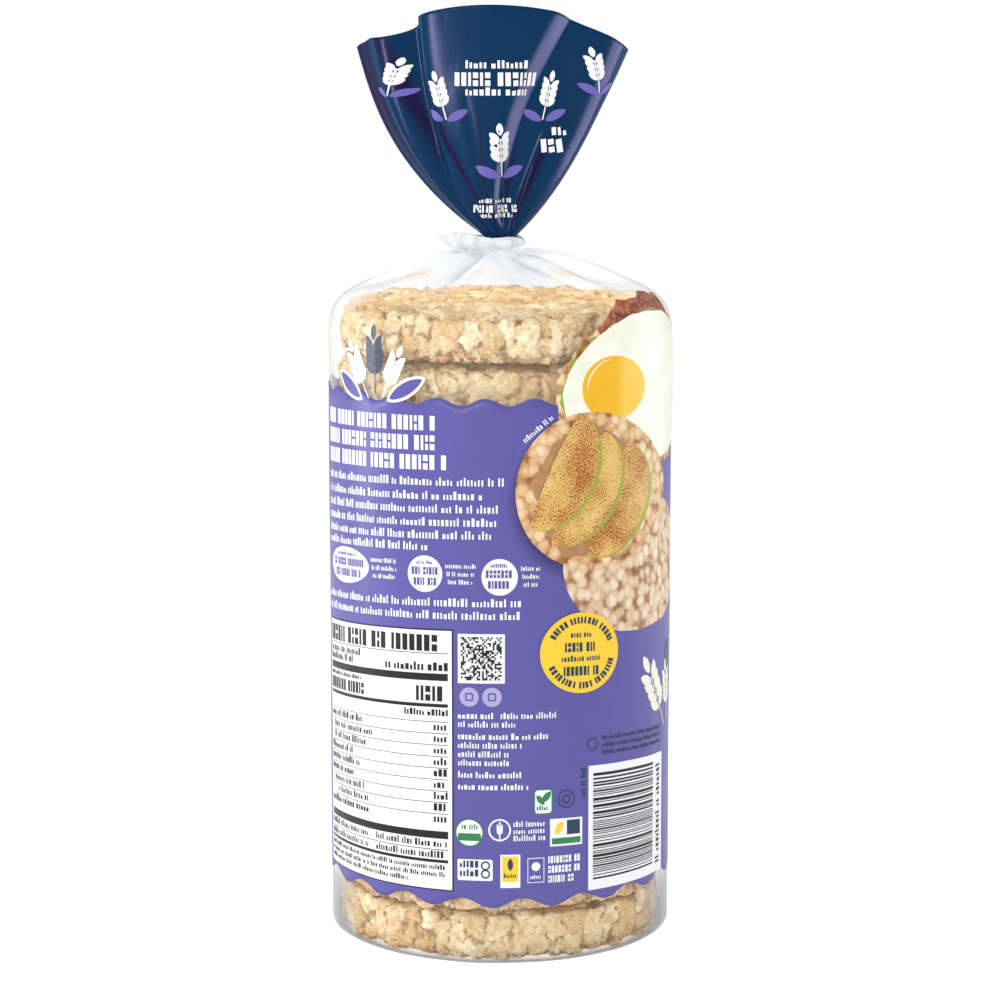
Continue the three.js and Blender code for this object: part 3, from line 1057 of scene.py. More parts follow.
def block_template():
    """A small plate 1 wide, 1 high and 1 thick on its flat place: its vertices and its faces."""
    shape = bmesh.new()
    bmesh.ops.create_cube(shape, size=1.0, matrix=Matrix.Translation(UP / 2))
    return tables(shape)


def unrolled(sheet):
    """Takes artwork drawn as seen from the front onto the round of the bag."""
    edge = math.asin(SIDE_START / FILM_RADIUS) * FILM_RADIUS
    for vertex in sheet.shape.verts:
        if vertex.co.x > SIDE_START:
            vertex.co.x = edge + (vertex.co.x - SIDE_START) * SIDE_STRETCH
        else:
            vertex.co.x = math.asin(vertex.co.x / FILM_RADIUS) * FILM_RADIUS
    return sheet


def on_film(point):
    """Wraps a flat point, lifted by its layer, onto the film."""
    angle = point.x / FILM_RADIUS
    sag = PRINT_BOW * math.sin(math.pi * (point.y - BOW_FOOT) / BOW_SPAN)
    run = point.y - sag * (1 - math.cos(min(abs(angle), math.pi / 2)))
    return film_spot(angle, run) + film_facing(angle, run) * (INK_LIFT + point.z)


def across_collar(across, up):
    """How far a flat place is from the collar's middle towards its side edge, which is 1."""
    whole = COLLAR_SIDE_TOP + COLLAR_CROWN - COLLAR_MOUTH
    rise = min(max((up - COLLAR_MOUTH) / whole, 0.02), HIGHEST_ART)
    return (across + collar_aside(rise)) / collar_reach(rise)[0]


def on_collar(point):
    """Wraps a flat point onto the collar. Past half of COLLAR_BACK the artwork is on the back."""
    back = point.x > COLLAR_BACK / 2
    aside = point.x - COLLAR_BACK if back else point.x
    angle = 0.0
    for _ in range(3):
        rise = (point.y - COLLAR_MOUTH) / (collar_edge(angle) - COLLAR_MOUTH)
        rise = min(rise, HIGHEST_ART)
        share = (aside + collar_aside(rise)) / collar_reach(rise)[0]
        past = min(max(abs(share) - FLAT_SHARE, 0.0), SIDE_SHARE)
        turn = math.asin(min(abs(share), FLAT_SHARE)) + SIDE_TURN * past
        turn = math.copysign(turn, share)
        angle = math.pi - turn if back else turn
    across = collar_spot(angle + 0.01, rise) - collar_spot(angle - 0.01, rise)
    along = collar_spot(angle, rise + 0.005) - collar_spot(angle, rise - 0.005)
    facing = across.cross(along).normalized()
    return collar_spot(angle, rise) + facing * (INK_LIFT + point.z)


def cut_fine(shape):
    """Cuts a flat shape along the lines of one grid, the same for every sheet."""
    for axis, direction in ((0, Vector((1, 0, 0))), (1, Vector((0, 1, 0)))):
        places = [vertex.co[axis] for vertex in shape.verts]
        for cut in np.arange(math.floor(min(places) / CUT) + 1, max(places) / CUT):
            geometry = shape.verts[:] + shape.edges[:] + shape.faces[:]
            line = direction * float(cut * CUT)
            bmesh.ops.bisect_plane(shape, geom=geometry, dist=1e-4, plane_co=line, plane_no=direction)


def pressed_on(shape, name, material, slot, wrap):
    """Cuts a sheet's larger shapes fine, gives their ink a thickness and wraps it onto the bag."""
    cut_fine(shape)
    flat = shape.loops.layers.uv.new("flat")
    thicken(shape, shape.faces[:], UP * INK_THICKNESS)
    for edge in shape.edges:
        edge.smooth = edge.calc_face_angle(0) < 0.8
    for face in shape.faces:
        for loop in face.loops:
            loop[flat].uv = loop.vert.co.xy / 100
    for vertex in shape.verts:
        vertex.co = wrap(vertex.co)
    finished(shape, name, slot, material)


def stamped(marks, name, material, slot, wrap):
    """Sets all the small blocks of a sheet on the bag, as one mesh."""
    template, sides = block_template()
    points, faces = [], []
    for across, up, width, height, layer, turn in marks:
        spot = Vector((across, up, layer * LAYER))
        middle = wrap(spot)
        along = (wrap(spot + Vector((0.5, 0, 0))) - middle) * 2
        upward = (wrap(spot + Vector((0, 0.5, 0))) - middle) * 2
        facing = along.cross(upward).normalized() * INK_THICKNESS
        along = upward.cross(facing).normalized() * along.length
        turned = np.array(Matrix.Rotation(math.radians(turn), 2))
        flat = (template[:, :2] * (width, height)) @ turned.T
        axes = np.array((along, upward, facing))
        faces.append(sides + len(points) * len(template))
        points.append(np.column_stack((flat, template[:, 2])) @ axes + np.array(middle))
    mesh = bpy.data.meshes.new(name)
    mesh.from_pydata(np.concatenate(points) * MM, [], np.concatenate(faces))
    placed(mesh, name, slot, material, smooth_faces=False)


def printed(sheet, name, material, slot="printed_film", wrap=on_film):
    """Prints a sheet onto the bag."""
    if sheet.shape.faces:
        pressed_on(sheet.shape, name, material, slot, wrap)
    if sheet.marks:
        stamped(sheet.marks, name + "_words", material, slot, wrap)


def add_headline(ink, dice):
    """The three bold lines, the paragraph under them and the two lines under the discs."""
    for middle, right in ((158.2, -17.0), (152.6, -18.9), (147.0, -14.2)):
        heading(ink, dice, PRINT_LEFT, right, middle, 4.2)
    paragraph = [(141.3, 1.2), (137.3, -4.2), (133.5, -0.1), (129.7, -0.1)]
    paragraph += [(126.0, -2.0), (122.6, -19.7)]
    for middle, right in (*paragraph, (106.5, 6.7), (102.8, 6.1)):
        words(ink, dice, PRINT_LEFT, right, middle, 1.75)
    words(ink, dice, 6.9, 17.9, 153.2, 1.2, 1, 39.5)


def add_claims(ink, mark, dice):
    """Three white discs in a row, each with a few words in it and a note beside it."""
    for across, up, half, note in (
        (-55.1, 115.6, 12.2, 11.0),
        (-22.3, 114.9, 5.5, 9.4),
        (-0.1, 114.3, 5.2, 6.0),
    ):
        disc(ink, across, up, half, 5.3)
        words(mark, dice, across - 0.5 * half, across + 0.5 * half, up + 3.2, 0.8, 2)
        heading(mark, dice, across - 0.76 * half, across + 0.8 * half, up + 0.9, 2.2, 2)
        heading(mark, dice, across - 0.64 * half, across + 0.68 * half, up - 2.2, 2.2, 2)
        side = across + half + 0.9
        for row in range(3):
            words(ink, dice, side + 0.4 * row, side + note - 0.6 * row, up + 2.3 - 2.3 * row, 1.0)


def add_facts(ink, dark, dice):
    """The tall white panel at the left: a heading, heavy and fine rules, and short entries."""
    left, right, low, high = PRINT_LEFT, -14.0, 22.0, 98.5
    block(dark, left - 0.4, low - 0.4, right + 0.4, high + 0.4, 1)
    block(ink, left, low, right, high, 2)
    left += 1.4
    right -= 1.2
    for rule in ((91.7, 91.9), (83.8, 85.9), (76.0, 77.0), (37.1, 39.3), (33.7, 33.9), (29.9, 30.8)):
        block(dark, left, rule[0], right, rule[1], 3)
    heading(dark, dice, left, right, 94.8, 4.8, 3)
    words(dark, dice, left, left + 22, 90.0, 1.6, 3)
    words(dark, dice, left, left + 18, 87.6, 1.6, 3, bold=True)
    words(dark, dice, right - 21, right, 87.6, 1.8, 3, bold=True)
    words(dark, dice, left, left + 22, 82.5, 1.0, 3, bold=True)
    heading(dark, dice, left, left + 24, 79.4, 3.4, 3)
    heading(dark, dice, right - 10, right, 80.0, 4.4, 3)
    words(dark, dice, right - 14, right, 74.2, 1.4, 3, bold=True)
    pitch = 3.4
    for row, indent in enumerate((0, 3, 3, 0, 0, 0, 3, 6, 0)):
        up = 70.0 - pitch * row
        start = left + indent
        words(dark, dice, start, start + dice.uniform(15, 26), up, 1.55, 3, bold=indent == 0)
        words(dark, dice, right - 4.4, right, up, 1.6, 3, bold=True)
        block(dark, left, up + pitch / 2 - 0.1, right, up + pitch / 2 + 0.08, 3)
    for up in (35.4, 32.1):
        words(dark, dice, left, left + 25, up, 1.5, 3)
        words(dark, dice, right - 25, right, up, 1.5, 3)
    for row in range(3):
        words(dark, dice, left, right - 0.5 - 12 * (row == 2), 28.4 - 2.1 * row, 1.1, 3)


def add_code_block(ink, dark, dice):
    """A white square with a loose scatter of small blocks."""
    left, low, width, height, cells = -12.2, 83.4, 13.6, 14.4, 23
    block(ink, left, low, left + width, low + height, 1)
    across = (width - 1.8) / cells
    up = (height - 1.8) / cells
    for row in range(cells):
        for column in range(cells):
            if dice.random() < 0.48:
                x = left + 0.9 + (column + 0.5) * across
                y = low + 0.9 + (row + 0.5) * up
                dark.marks.append((x, y, across, up, 2, 0.0))


def add_bar_panel(ink, dark, dice):
    """The white panel at the lower right, with lines of many widths and a column of small marks."""
    block(ink, 27.0, 20.5, 62.5, 58.0, 1)
    up = 23.6
    while up < 55.5:
        thick = dice.choice((0.28, 0.28, 0.55, 0.85))
        block(dark, 28.6, up, 55.5, up + thick, 2)
        up += thick + dice.choice((0.3, 0.3, 0.6))
    words(dark, dice, 59.2, 92.0, 23.2, 2.2, 2, 90.0)


def add_small_print(ink, pale, violet, dark, dice):
    """The rows under the code block, the two round marks above them and the rows at the right."""
    for across in (-8.9, -2.3):
        disc(pale, across, 79.4, 2.8)
        hollow(violet, block(violet, across - 1.2, 78.2, across + 1.2, 80.6, 2, 0.5), 0.45)
    words(ink, dice, PRINT_COLUMN, -1.0, 73.7, 1.35, bold=True)
    words(ink, dice, 0.2, 16.7, 73.7, 1.35)
    plain, heavy = False, True
    rows = [(71.2, 5.0, plain), (67.6, 14.0, heavy), (65.0, 6.9, plain), (62.4, 3.0, plain)]
    rows += [(59.9, 3.8, plain), (56.3, 7.8, heavy), (52.8, 8.8, heavy)]
    for up, right, bold in rows:
        words(ink, dice, PRINT_COLUMN, right, up, 1.35, bold=bold)
    for row in range(3):
        words(dark, dice, 31.8, 61.0, 66.0 - 2.2 * row, 1.0)
    hollow(dark, disc(dark, 28.3, 64.4, 1.9), 0.3)
    words(dark, dice, 25.4, 34.8, 48.9, 1.4, 1, 90.0)


def add_upper_marks(ink, dark, green, dice):
    """A green frame with leaves and words, and a ring inside another beside it."""
    block(green, 9.8, 44.6, 15.5, 52.2, 1, 1.0)
    block(ink, 10.2, 45.0, 15.1, 51.8, 2, 0.8)
    leaf(green, 11.8, 48.9, 3.6, 1.7, 130, 3)
    leaf(green, 13.6, 49.8, 4.0, 1.9, 50, 3)
    words(green, dice, 10.7, 14.7, 46.4, 1.0, 3)
    for half, border in ((2.7, 0.35), (1.3, 0.4)):
        hollow(dark, disc(dark, 19.7, 48.8, half), border)


def add_middle_marks(ink, dark, green, yellow, dice):
    """A green and white disc, an ear in a ring with words beside it, and a panel in three parts."""
    disc(green, -8.9, 39.4, 4.2)
    disc(ink, -8.9, 39.4, 3.8, layer=2)
    block(green, -12.3, 37.0, -5.5, 39.2, 3, 0.6)
    words(green, dice, -11.2, -6.4, 41.0, 1.2, 3)
    hollow(ink, disc(ink, -0.1, 40.3, 3.3), 0.5)
    sprig(ink, ink, -0.1, 39.9, 4.6, 0)
    for row in range(3):
        words(ink, dice, 3.9, 13.3, 41.8 - 2.1 * row, 1.2)
    block(ink, 14.7, 34.9, 24.9, 43.1, 1)
    block(green, 15.3, 35.5, 24.3, 37.3, 2)
    leaf(yellow, 17.5, 40.2, 4.2, 2.2, 60, 2)
    block(dark, 19.9, 38.2, 24.1, 42.5, 2)


def add_lower_marks(ink, dark, yellow, dice):
    """A panel with two rings, a yellow one with a grain, a disc in a frame and three heavy rows."""
    block(ink, -12.4, 25.2, -2.1, 31.5, 1, 0.5)
    for row in range(2):
        words(dark, dice, -11.7, -6.0, 29.8 - 2.6 * row, 1.5, 2, bold=True)
    for up in (29.7, 27.2):
        hollow(dark, disc(dark, -4.2, up, 1.35, layer=2), 0.45)
    block(ink, 0.1, 23.1, 5.9, 33.0, 1)
    block(yellow, 0.6, 25.0, 5.3, 32.4, 2)
    leaf(dark, 3.0, 30.0, 3.6, 1.6, 90, 3)
    words(dark, dice, 1.1, 4.9, 26.6, 1.0, 3)
    hollow(ink, block(ink, 8.0, 24.4, 13.0, 31.8, 1), 0.3)
    disc(ink, 10.5, 29.2, 1.3)
    words(ink, dice, 8.8, 12.4, 26.0, 0.9)
    for row in range(3):
        heading(ink, dice, 14.2, 24.7 - 2.0 * (row == 2), 31.0 - 2.9 * row, 2.1)


def add_round_badge(yellow, dark, dice, across=24.4, up=91.8):
    """A big yellow badge: straight rows, light and heavy in turn, inside two arcs."""
    disc(yellow, across, up, 12.9, 11.85, layer=6, segments=64)
    for start, stop in ((22, 158), (206, 334)):
        word_arc(dark, dice, across, up, 9.6, start, stop, 1.9, 7)
    for row, half in enumerate((3.6, 5.4, 6.4, 5.8)):
        level = up + 5.2 - 3.5 * row
        if row % 2:
            heading(dark, dice, across - half, across + half, level, 2.7, 7)
        else:
            words(dark, dice, across - half, across + half, level, 1.3, 7)


def add_sprigs(cream, slate, violet, white):
    """Rice ears: one at the right of the front, and one that breaks over the band's upper edge."""
    for aside, turn, size in ((0, 34, 24.0), (9, 8, 17.0)):
        sprig(cream, cream, 58.0 + aside, 76.0, size, turn)
    leaf(slate, 68.0, 88.0, 9.0, 4.5, 75)
    for across, turn, size in ((-47.0, 32, 15.0), (-33.5, -26, 13.0)):
        sprig(white, white, across, 171.5, size * 1.12, turn, 1, 5)
    sprig(slate, slate, -40.0, 174.5, 17.0, 3, 2, 5)
    for across, turn in ((-52.0, 150), (-28.5, 28)):
        leaf(white, across, 167.5, 15.0, 5.4, turn, 1)
        leaf(violet, across, 167.5, 12.6, 3.6, turn, 3)


def add_back(sheets, dice):
    """The back: a heading, rice ears, a badge and rows of words round the picture of a cake."""
    white, cream = sheets["white"], sheets["cream"]
    for row, half in enumerate((34, 40, 27)):
        heading(white, dice, BACK - half, BACK + half, 147.0 - 11.0 * row, 8.6)
    for row, half in enumerate((30, 34, 26)):
        words(white, dice, BACK - half, BACK + half, 113.0 - 4.2 * row, 2.0)
    for side in (-1, 1):
        sprig(cream, cream, BACK + side * 44, 70.0, 30.0, -22 * side, 1, 6)
        sprig(cream, cream, BACK + side * 52, 44.0, 22.0, -48 * side, 1, 5)
    for step in range(-2, 3):
        across = BACK + 15 * step
        disc(white, across, 30.0, 5.4)
        for half, up in ((3.4, 31.2), (2.6, 28.6)):
            words(sheets["violet"], dice, across - half, across + half, up, 1.3, 2)
    add_round_badge(sheets["yellow"], sheets["slate"], dice, BACK + 24, 52.0)


def make_print(inks):
    """Everything printed on the film but the pictures."""
    dice = random.Random(3)
    sheets = {name: Sheet() for name in inks}
    white, dark, slate = sheets["white"], sheets["black"], sheets["slate"]
    green, yellow = sheets["green"], sheets["yellow"]
    add_headline(white, dice)
    add_claims(white, sheets["violet"], dice)
    add_facts(white, dark, dice)
    add_code_block(white, dark, dice)
    add_bar_panel(white, dark, dice)
    add_small_print(white, sheets["lavender"], sheets["violet"], slate, dice)
    add_upper_marks(white, slate, green, dice)
    add_middle_marks(white, slate, green, yellow, dice)
    add_lower_marks(white, slate, yellow, dice)
    add_round_badge(yellow, slate, dice)
    add_sprigs(sheets["cream"], slate, sheets["violet"], white)
    add_back(sheets, dice)
    for name, sheet in sheets.items():
        printed(sheet, f"print_{name}", inks[name])


COLLAR_WORDS = [  # [across, above the stack, height of the heavy row], the last in front only
    (-1.0, 67.0, 3.9),
    (-0.6, 29.0, 2.2),
    (25.5, 47.5, 3.9),
]
COLLAR_EARS = [  # [across, above the stack, size, turn in degrees]
    (-17.0, 61.5, 13.0, 16),
    (15.5, 61.5, 13.0, -14),
    (0.0, 45.5, 14.0, 4),
    (-32.0, 67.0, 10.0, -8),
    (29.5, 69.0, 12.0, 10),
]
SEEN_SHARE = 0.88  # how far towards the side edge, which is 1, a word's blocks may stand


def in_sight(mark):
    """Whether a block of the collar's words keeps well inside its own side."""
    across = (mark[0] + COLLAR_BACK / 2) % COLLAR_BACK - COLLAR_BACK / 2
    return abs(across_collar(across, mark[1])) < SEEN_SHARE


def make_collar_print(white_ink, lavender_ink):
    """Rice ears and short stacks of words scattered all over the collar."""
    dice = random.Random(8)
    white, lavender = Sheet(), Sheet()
    for face in (0, COLLAR_BACK):
        for across, height, tall in COLLAR_WORDS[:-1] if face else COLLAR_WORDS:
            up = STACK_HEIGHT + height
            x = face + across
            small = 0.44 * tall
            words(white, dice, x - 2.2 * tall, x + 2.3 * tall, up + 1.02 * tall, small, bold=True)
            heading(white, dice, x - 3 * tall, x + 3.1 * tall, up, tall)
            words(white, dice, x - 2.2 * tall, x + 2.3 * tall, up - 0.98 * tall, small, bold=True)
        for across, height, size, turn in COLLAR_EARS:
            up = STACK_HEIGHT + height
            x = face + across
            sprig(white, white, x, up, size, turn, 1, 4)
            foot = Vector((x, up)) + Matrix.Rotation(math.radians(turn), 2) @ Vector((0, -0.4 * size))
            for side in (-1, 1):
                middle = foot.x + side * 0.28 * size
                leaf(lavender, middle, foot.y, 0.52 * size, 0.2 * size, 90 - side * 62, 1)
    white.marks = [mark for mark in white.marks if in_sight(mark)]
    printed(white, "collar_print_white", white_ink, "collar_film", on_collar)
    printed(lavender, "collar_print_lavender", lavender_ink, "collar_film", on_collar)


# ---- Printed pictures ----


def wavy_disc(sheet, across, up, width, height, layer, wobble, seed):
    """An oval with an uneven edge."""
    face = disc(sheet, across, up, width, height, layer, segments=72)
    middle = Vector((across, up, layer * LAYER))
    for vertex in face.verts:
        out = vertex.co - middle
        angle = math.atan2(out.y, out.x)
        uneven = round_noise(angle, 1.6, seed)
        fine = round_noise(angle, 9, seed)
        vertex.co = middle + out * (1 + wobble * uneven + 0.4 * wobble * fine)


def patch(sheet, outline, layer, grow=0.0, wobble=0.0):
    """A flat shape with this outline, its corners rounded if it grows, and wavy if it wobbles."""
    if grow or wobble:
        outline = rounded([*outline, outline[0]], 3)[:-1]
    middle = sum((Vector(point) for point in outline), Vector((0, 0))) / len(outline)
    corners = []
    for point in outline:
        out = Vector(point) - middle
        uneven = noise.noise(Vector((point[0] / 3, point[1] / 3, layer)))
        out *= 1 + (grow + wobble * uneven) / out.length
        corners.append(sheet.shape.verts.new((*(middle + out), layer * LAYER)))
    face = sheet.shape.faces.new(corners)
    bmesh.ops.triangulate(sheet.shape, faces=[face])


BACON = [  # its outline, as seen from the front
    (30.0, 180.0), (28.2, 183.9), (31.1, 187.2), (33.4, 189.6), (35.1, 190.6), (37.5, 193.6),
    (39.8, 192.7), (41.7, 193.4), (44.4, 193.4), (47.1, 196.0), (50.5, 195.0), (50.9, 193.3),
    (53.4, 194.2), (55.6, 193.2), (53.6, 190.6), (52.4, 186.0), (44.0, 182.5),
]
EGG = [
    (38.0, 145.9), (28.0, 150.0), (20.4, 156.8), (17.9, 163.0), (18.0, 168.6), (20.6, 174.6),
    (24.8, 180.0), (30.4, 184.0), (37.0, 187.2), (44.0, 188.4), (51.0, 186.8), (57.0, 181.0),
    (61.0, 172.0), (61.0, 160.0), (57.0, 151.6), (47.6, 146.6),
]
APPLE_SLICES = [  # [foot, tip], the lowest in the pile first
    ((25.0, 119.5), (36.8, 152.0)),
    ((14.5, 123.5), (29.8, 155.5)),
    ((8.6, 128.2), (22.8, 160.8)),
]


def make_pictures(finishes):
    """An egg with bacon on a cake, apple slices on another and two plain cakes, one on the back."""
    sheets = {name: Sheet() for name in finishes}
    wavy_disc(sheets["shadow"], 25.2, 137.2, 24.6, 25.0, 1, 0.0, 0)
    wavy_disc(sheets["plain_cake"], 38.5, 117.0, 20.4, 20.0, 2, 0.02, 1)
    patch(sheets["warm_cake"], EGG, 2, 2.0, 1.4)
    patch(sheets["green"], EGG, 3, 0.7, 1.8)
    patch(sheets["bacon"], BACON, 5)
    patch(sheets["egg"], EGG, 8, 0.1, 0.3)
    disc(sheets["yolk"], 32.5, 167.6, 9.2, 9.1, 9, 56)
    half_moon(sheets["egg"], (25.3, 167.0), (32.0, 175.4), -2.3, 2.7, 10)
    wavy_disc(sheets["warm_cake"], 26.0, 138.6, 21.8, 22.5, 11, 0.014, 5)
    wavy_disc(sheets["spread"], 25.0, 138.6, 15.4, 17.6, 12, 0.16, 6)
    for step, (foot, tip) in enumerate(APPLE_SLICES):
        half_moon(sheets["green"], foot, tip, 12.2, 0.0, 13 + 2 * step)
        half_moon(sheets["slices"], foot, tip, 11.2, 1.6, 14 + 2 * step)
    for name, sheet in sheets.items():
        printed(unrolled(sheet), f"picture_{name}", finishes[name])
    back = Sheet()
    wavy_disc(back, BACK, 74.0, 27.0, 27.0, 2, 0.015, 9)
    printed(back, "picture_back_cake", finishes["plain_cake"])


# ---- The tape ----


FLAG_TOP = [  # [along -X, above the tape's upper edge]
    (-3.6, -0.5),
    (1.5, -0.3),
    (5.9, 0.5),
    (9.4, 1.4),
    (14.1, 1.5),
    (15.0, 0.8),
    (18.7, 0.5),
]
FLAG_FOOT = [  # [along -X, above the tape's lower edge]
    (-3.6, 0.3),
    (1.5, -0.4),
    (6.0, -1.1),
    (9.5, -1.7),
    (11.5, -0.6),
    (14.4, -0.1),
    (18.7, TAPE_HIGH - TAPE_LOW + 0.4),
]


def make_tape(material):
    """White tape wound round the neck, its free ends stuck together as a crumpled flag."""
    corners = [(TAPE_INNER, TAPE_LOW), (TAPE_OUTER, TAPE_LOW), (TAPE_OUTER, TAPE_HIGH)]
    corners += [(TAPE_INNER, TAPE_HIGH), (TAPE_INNER, TAPE_LOW)]
    rows = np.linspace(0, 4, 33)
    shape = tube(rows, 120)

    def spot(angle, row):
        index = min(int(row), 3)
        share = row - index
        (r0, h0), (r1, h1) = corners[index], corners[index + 1]
        radius = r0 + (r1 - r0) * share
        height = h0 + (h1 - h0) * share
        crumple = 0.3 * round_noise(angle, 2, height / 3)
        level = (height - (TAPE_LOW + TAPE_HIGH) / 2) / (TAPE_HIGH - TAPE_LOW)
        pinch = TAPE_PINCH * dent(math.degrees(angle), 84, 34) * level
        droop = TAPE_WAVE * math.sin(3 * angle) - pinch
        wobble = 0.3 * round_noise(angle, 5, 9)
        return polar(angle, radius + crumple, height + droop + wobble)

    place(shape, spot)
    add_tape_flag(shape)
    tape = finished(shape, "tape", "tape", material)
    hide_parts("neck_tape")


def add_tape_flag(shape):
    """The tape's free ends, torn a little ragged, standing out along -X in front of the neck."""
    root, tip = FLAG_TOP[0][0], FLAG_TOP[-1][0]
    made = bmesh.ops.create_grid(shape, x_segments=60, y_segments=12, size=0.5)
    for vertex in made["verts"]:
        out = root + (tip - root) * (0.5 - vertex.co.x)
        up = vertex.co.y + 0.5
        torn = 0.25 * noise.noise(Vector((out * 1.1, 4.0 * round(up), 3)))
        low = TAPE_LOW + float(np.interp(out, *zip(*FLAG_FOOT))) + torn
        high = TAPE_HIGH + float(np.interp(out, *zip(*FLAG_TOP))) + torn
        height = low + (high - low) * up
        flare = 1.5 * max(TAPE_LOW + 0.8 - height, 0)
        crumple = 0.7 * noise.noise(Vector((out / 2.4, height / 2.4, 2)))
        vertex.co = Vector((-out, -TAPE_OUTER - 0.2 - flare + crumple, height))
    faces = dict.fromkeys(face for vertex in made["verts"] for face in vertex.link_faces)
    thicken(shape, list(faces), Vector((0, FLAG_THICKNESS, 0)))


# ---- The rice cakes ----

CAKE_THICKNESS = CAKE_PITCH - 0.1
STACK_FOOT = 0.45  # the lowest cake is pressed flat this far above the table
TOP_CAKE_LIFT = 1.6  # how far the top cake stands off the one below
GRAIN_SPACING = 5.0  # on the flat faces
RIM_SPACING = 5.8  # round the rim, where the grains stand upright
FACE_GRAIN = (8.0, 5.6, 4.4)
RIM_GRAIN = (7.4, 5.4, 11.5)  # round the rim, outwards and up
SPLIT = 0.32  # the share of places on the rim with two short grains
CORE_MARGIN = 0.7  # how far the fused middle lies inside the cake's outline
EDGE_ROUND = 0.9  # radius of the rim's two edges
LIP = 0.9  # how far the mould's thin lip stands out at the lower edge
WANDER = 2.4  # how far the borders between grains stray
GRAIN_STEP = 0.42  # how much further out one grain stands than another
CRACK_WIDTH = 0.75
CRACK_DEPTH = 0.4
UPRIGHT = 0.6  # how much less a distance up the rim counts when grains are told apart
RUGGED = 0.8  # how much rougher the two top cakes are
RIM_START = 42.0  # the radius from which a cake counts as its rim
EDGE_START = 3.6  # how far from mid height the rim begins to be toasted
EDGE_BAND = 2.4
FINE_SKIN = 0.62  # how fine a skin the cakes that show have
PLAIN_SKIN = 1.6  # and those behind the print


def face_grains(dice, side):
    """The grains of one flat face, in offset rows, each a little out of place and turned."""
    grains = []
    level = side * (CAKE_THICKNESS / 2 - 1.8)
    rows = int(CAKE_RADIUS / GRAIN_SPACING) + 3
    for row in range(-rows, rows):
        for column in range(-rows, rows):
            x = GRAIN_SPACING * (column + 0.5 * (row % 2)) + dice.uniform(-1.6, 1.6)
            y = 0.87 * GRAIN_SPACING * row + dice.uniform(-1.6, 1.6)
            if math.hypot(x, y) < CAKE_RADIUS - 4:
                turn = Euler((0, dice.uniform(-0.25, 0.25), dice.uniform(0, math.tau)))
                grains.append((Vector((x, y, level + dice.uniform(-0.4, 0.5))), turn, FACE_GRAIN))
    return grains


def rim_grains(dice, rugged):
    """Upright grains round the rim, some of them in two short courses."""
    grains = []
    around = int(math.tau * CAKE_RADIUS / RIM_SPACING)
    for step in range(around):
        angle = math.tau * (step + dice.uniform(-0.45, 0.45)) / around
        split = dice.random() < SPLIT + 0.3 * rugged
        for side in (-1, 1) if split else (0,):
            height = side * 3.6 + dice.uniform(-2.2, 2.2)
            radius = CAKE_RADIUS - 2.3 + dice.uniform(-0.5, 0.5) * (1 + rugged)
            turn = Euler((dice.uniform(-0.25, 0.25), dice.uniform(-0.3, 0.3), angle))
            tall = 0.62 if split else 1.0
            size = (RIM_GRAIN[0], RIM_GRAIN[1], RIM_GRAIN[2] * tall)
            grains.append((polar(angle, radius, height), turn, size))
    return grains


def grain_template():
    """A coarse round grain: its vertices and triangles."""
    shape = bmesh.new()
    bmesh.ops.create_icosphere(shape, subdivisions=2, radius=1)
    return tables(shape)


def fused_core(margin):
    """The cake's fused middle, a round slab with softened edges: its vertices and triangles."""
    shape = bmesh.new()
    radius = CAKE_RADIUS - margin
    depth = CAKE_THICKNESS - 2 * margin
    bmesh.ops.create_cone(
        shape, cap_ends=True, segments=96, radius1=radius, radius2=radius, depth=depth
    )
    corners = [edge for edge in shape.edges if abs(edge.verts[0].co.z - edge.verts[1].co.z) < 0.1]
    bmesh.ops.bevel(
        shape, geom=corners, offset=1.5, segments=3, profile=0.5, affect="EDGES", material=-1
    )
    bmesh.ops.triangulate(shape, faces=shape.faces)
    return tables(shape)


def grain_heap(dice, grains, rugged):
    """All the grains of one cake over a fused core, overlapping, as one mesh."""
    points, triangles = grain_template()
    core_points, core_triangles = fused_core(CORE_MARGIN + 1.1 * rugged)
    all_points = [core_points]
    all_triangles = [core_triangles]
    for index, (spot, turn, size) in enumerate(grains):
        sizes = np.array([extent / 2 * dice.uniform(0.85, 1.2) for extent in size])
        all_points.append((points * sizes) @ np.array(turn.to_matrix()).T + np.array(spot))
        all_triangles.append(triangles + len(core_points) + len(points) * index)
    mesh = bpy.data.meshes.new("grains")
    mesh.from_pydata(np.concatenate(all_points), [], np.concatenate(all_triangles))
    return mesh


def remeshed(mesh, voxel):
    """One closed skin over overlapping shapes."""
    heap = linked("grains", mesh)
    skin = heap.modifiers.new("skin", "REMESH")
    skin.mode = "VOXEL"
    skin.voxel_size = voxel
    seen = heap.evaluated_get(bpy.context.evaluated_depsgraph_get())
    whole = bpy.data.meshes.new_from_object(seen)
    bpy.data.objects.remove(heap)
    return whole


def rows_of(items, field):
    """What each of a mesh's items has in this field of three numbers, as rows of a table."""
    table = np.empty(len(items) * 3)
    items.foreach_get(field, table)
    return table.reshape(-1, 3)


def move_to(mesh, table):
    """Puts the vertices of a mesh where the rows of a table say."""
    mesh.vertices.foreach_set("co", table.ravel())
    mesh.update()


def pressed(value, limit, softness):
    """Values past a mould wall, squeezed back so that none passes the limit."""
    start = limit - softness
    over = np.maximum(value - start, 0)
    return np.minimum(value, start) + softness * np.tanh(over / softness)


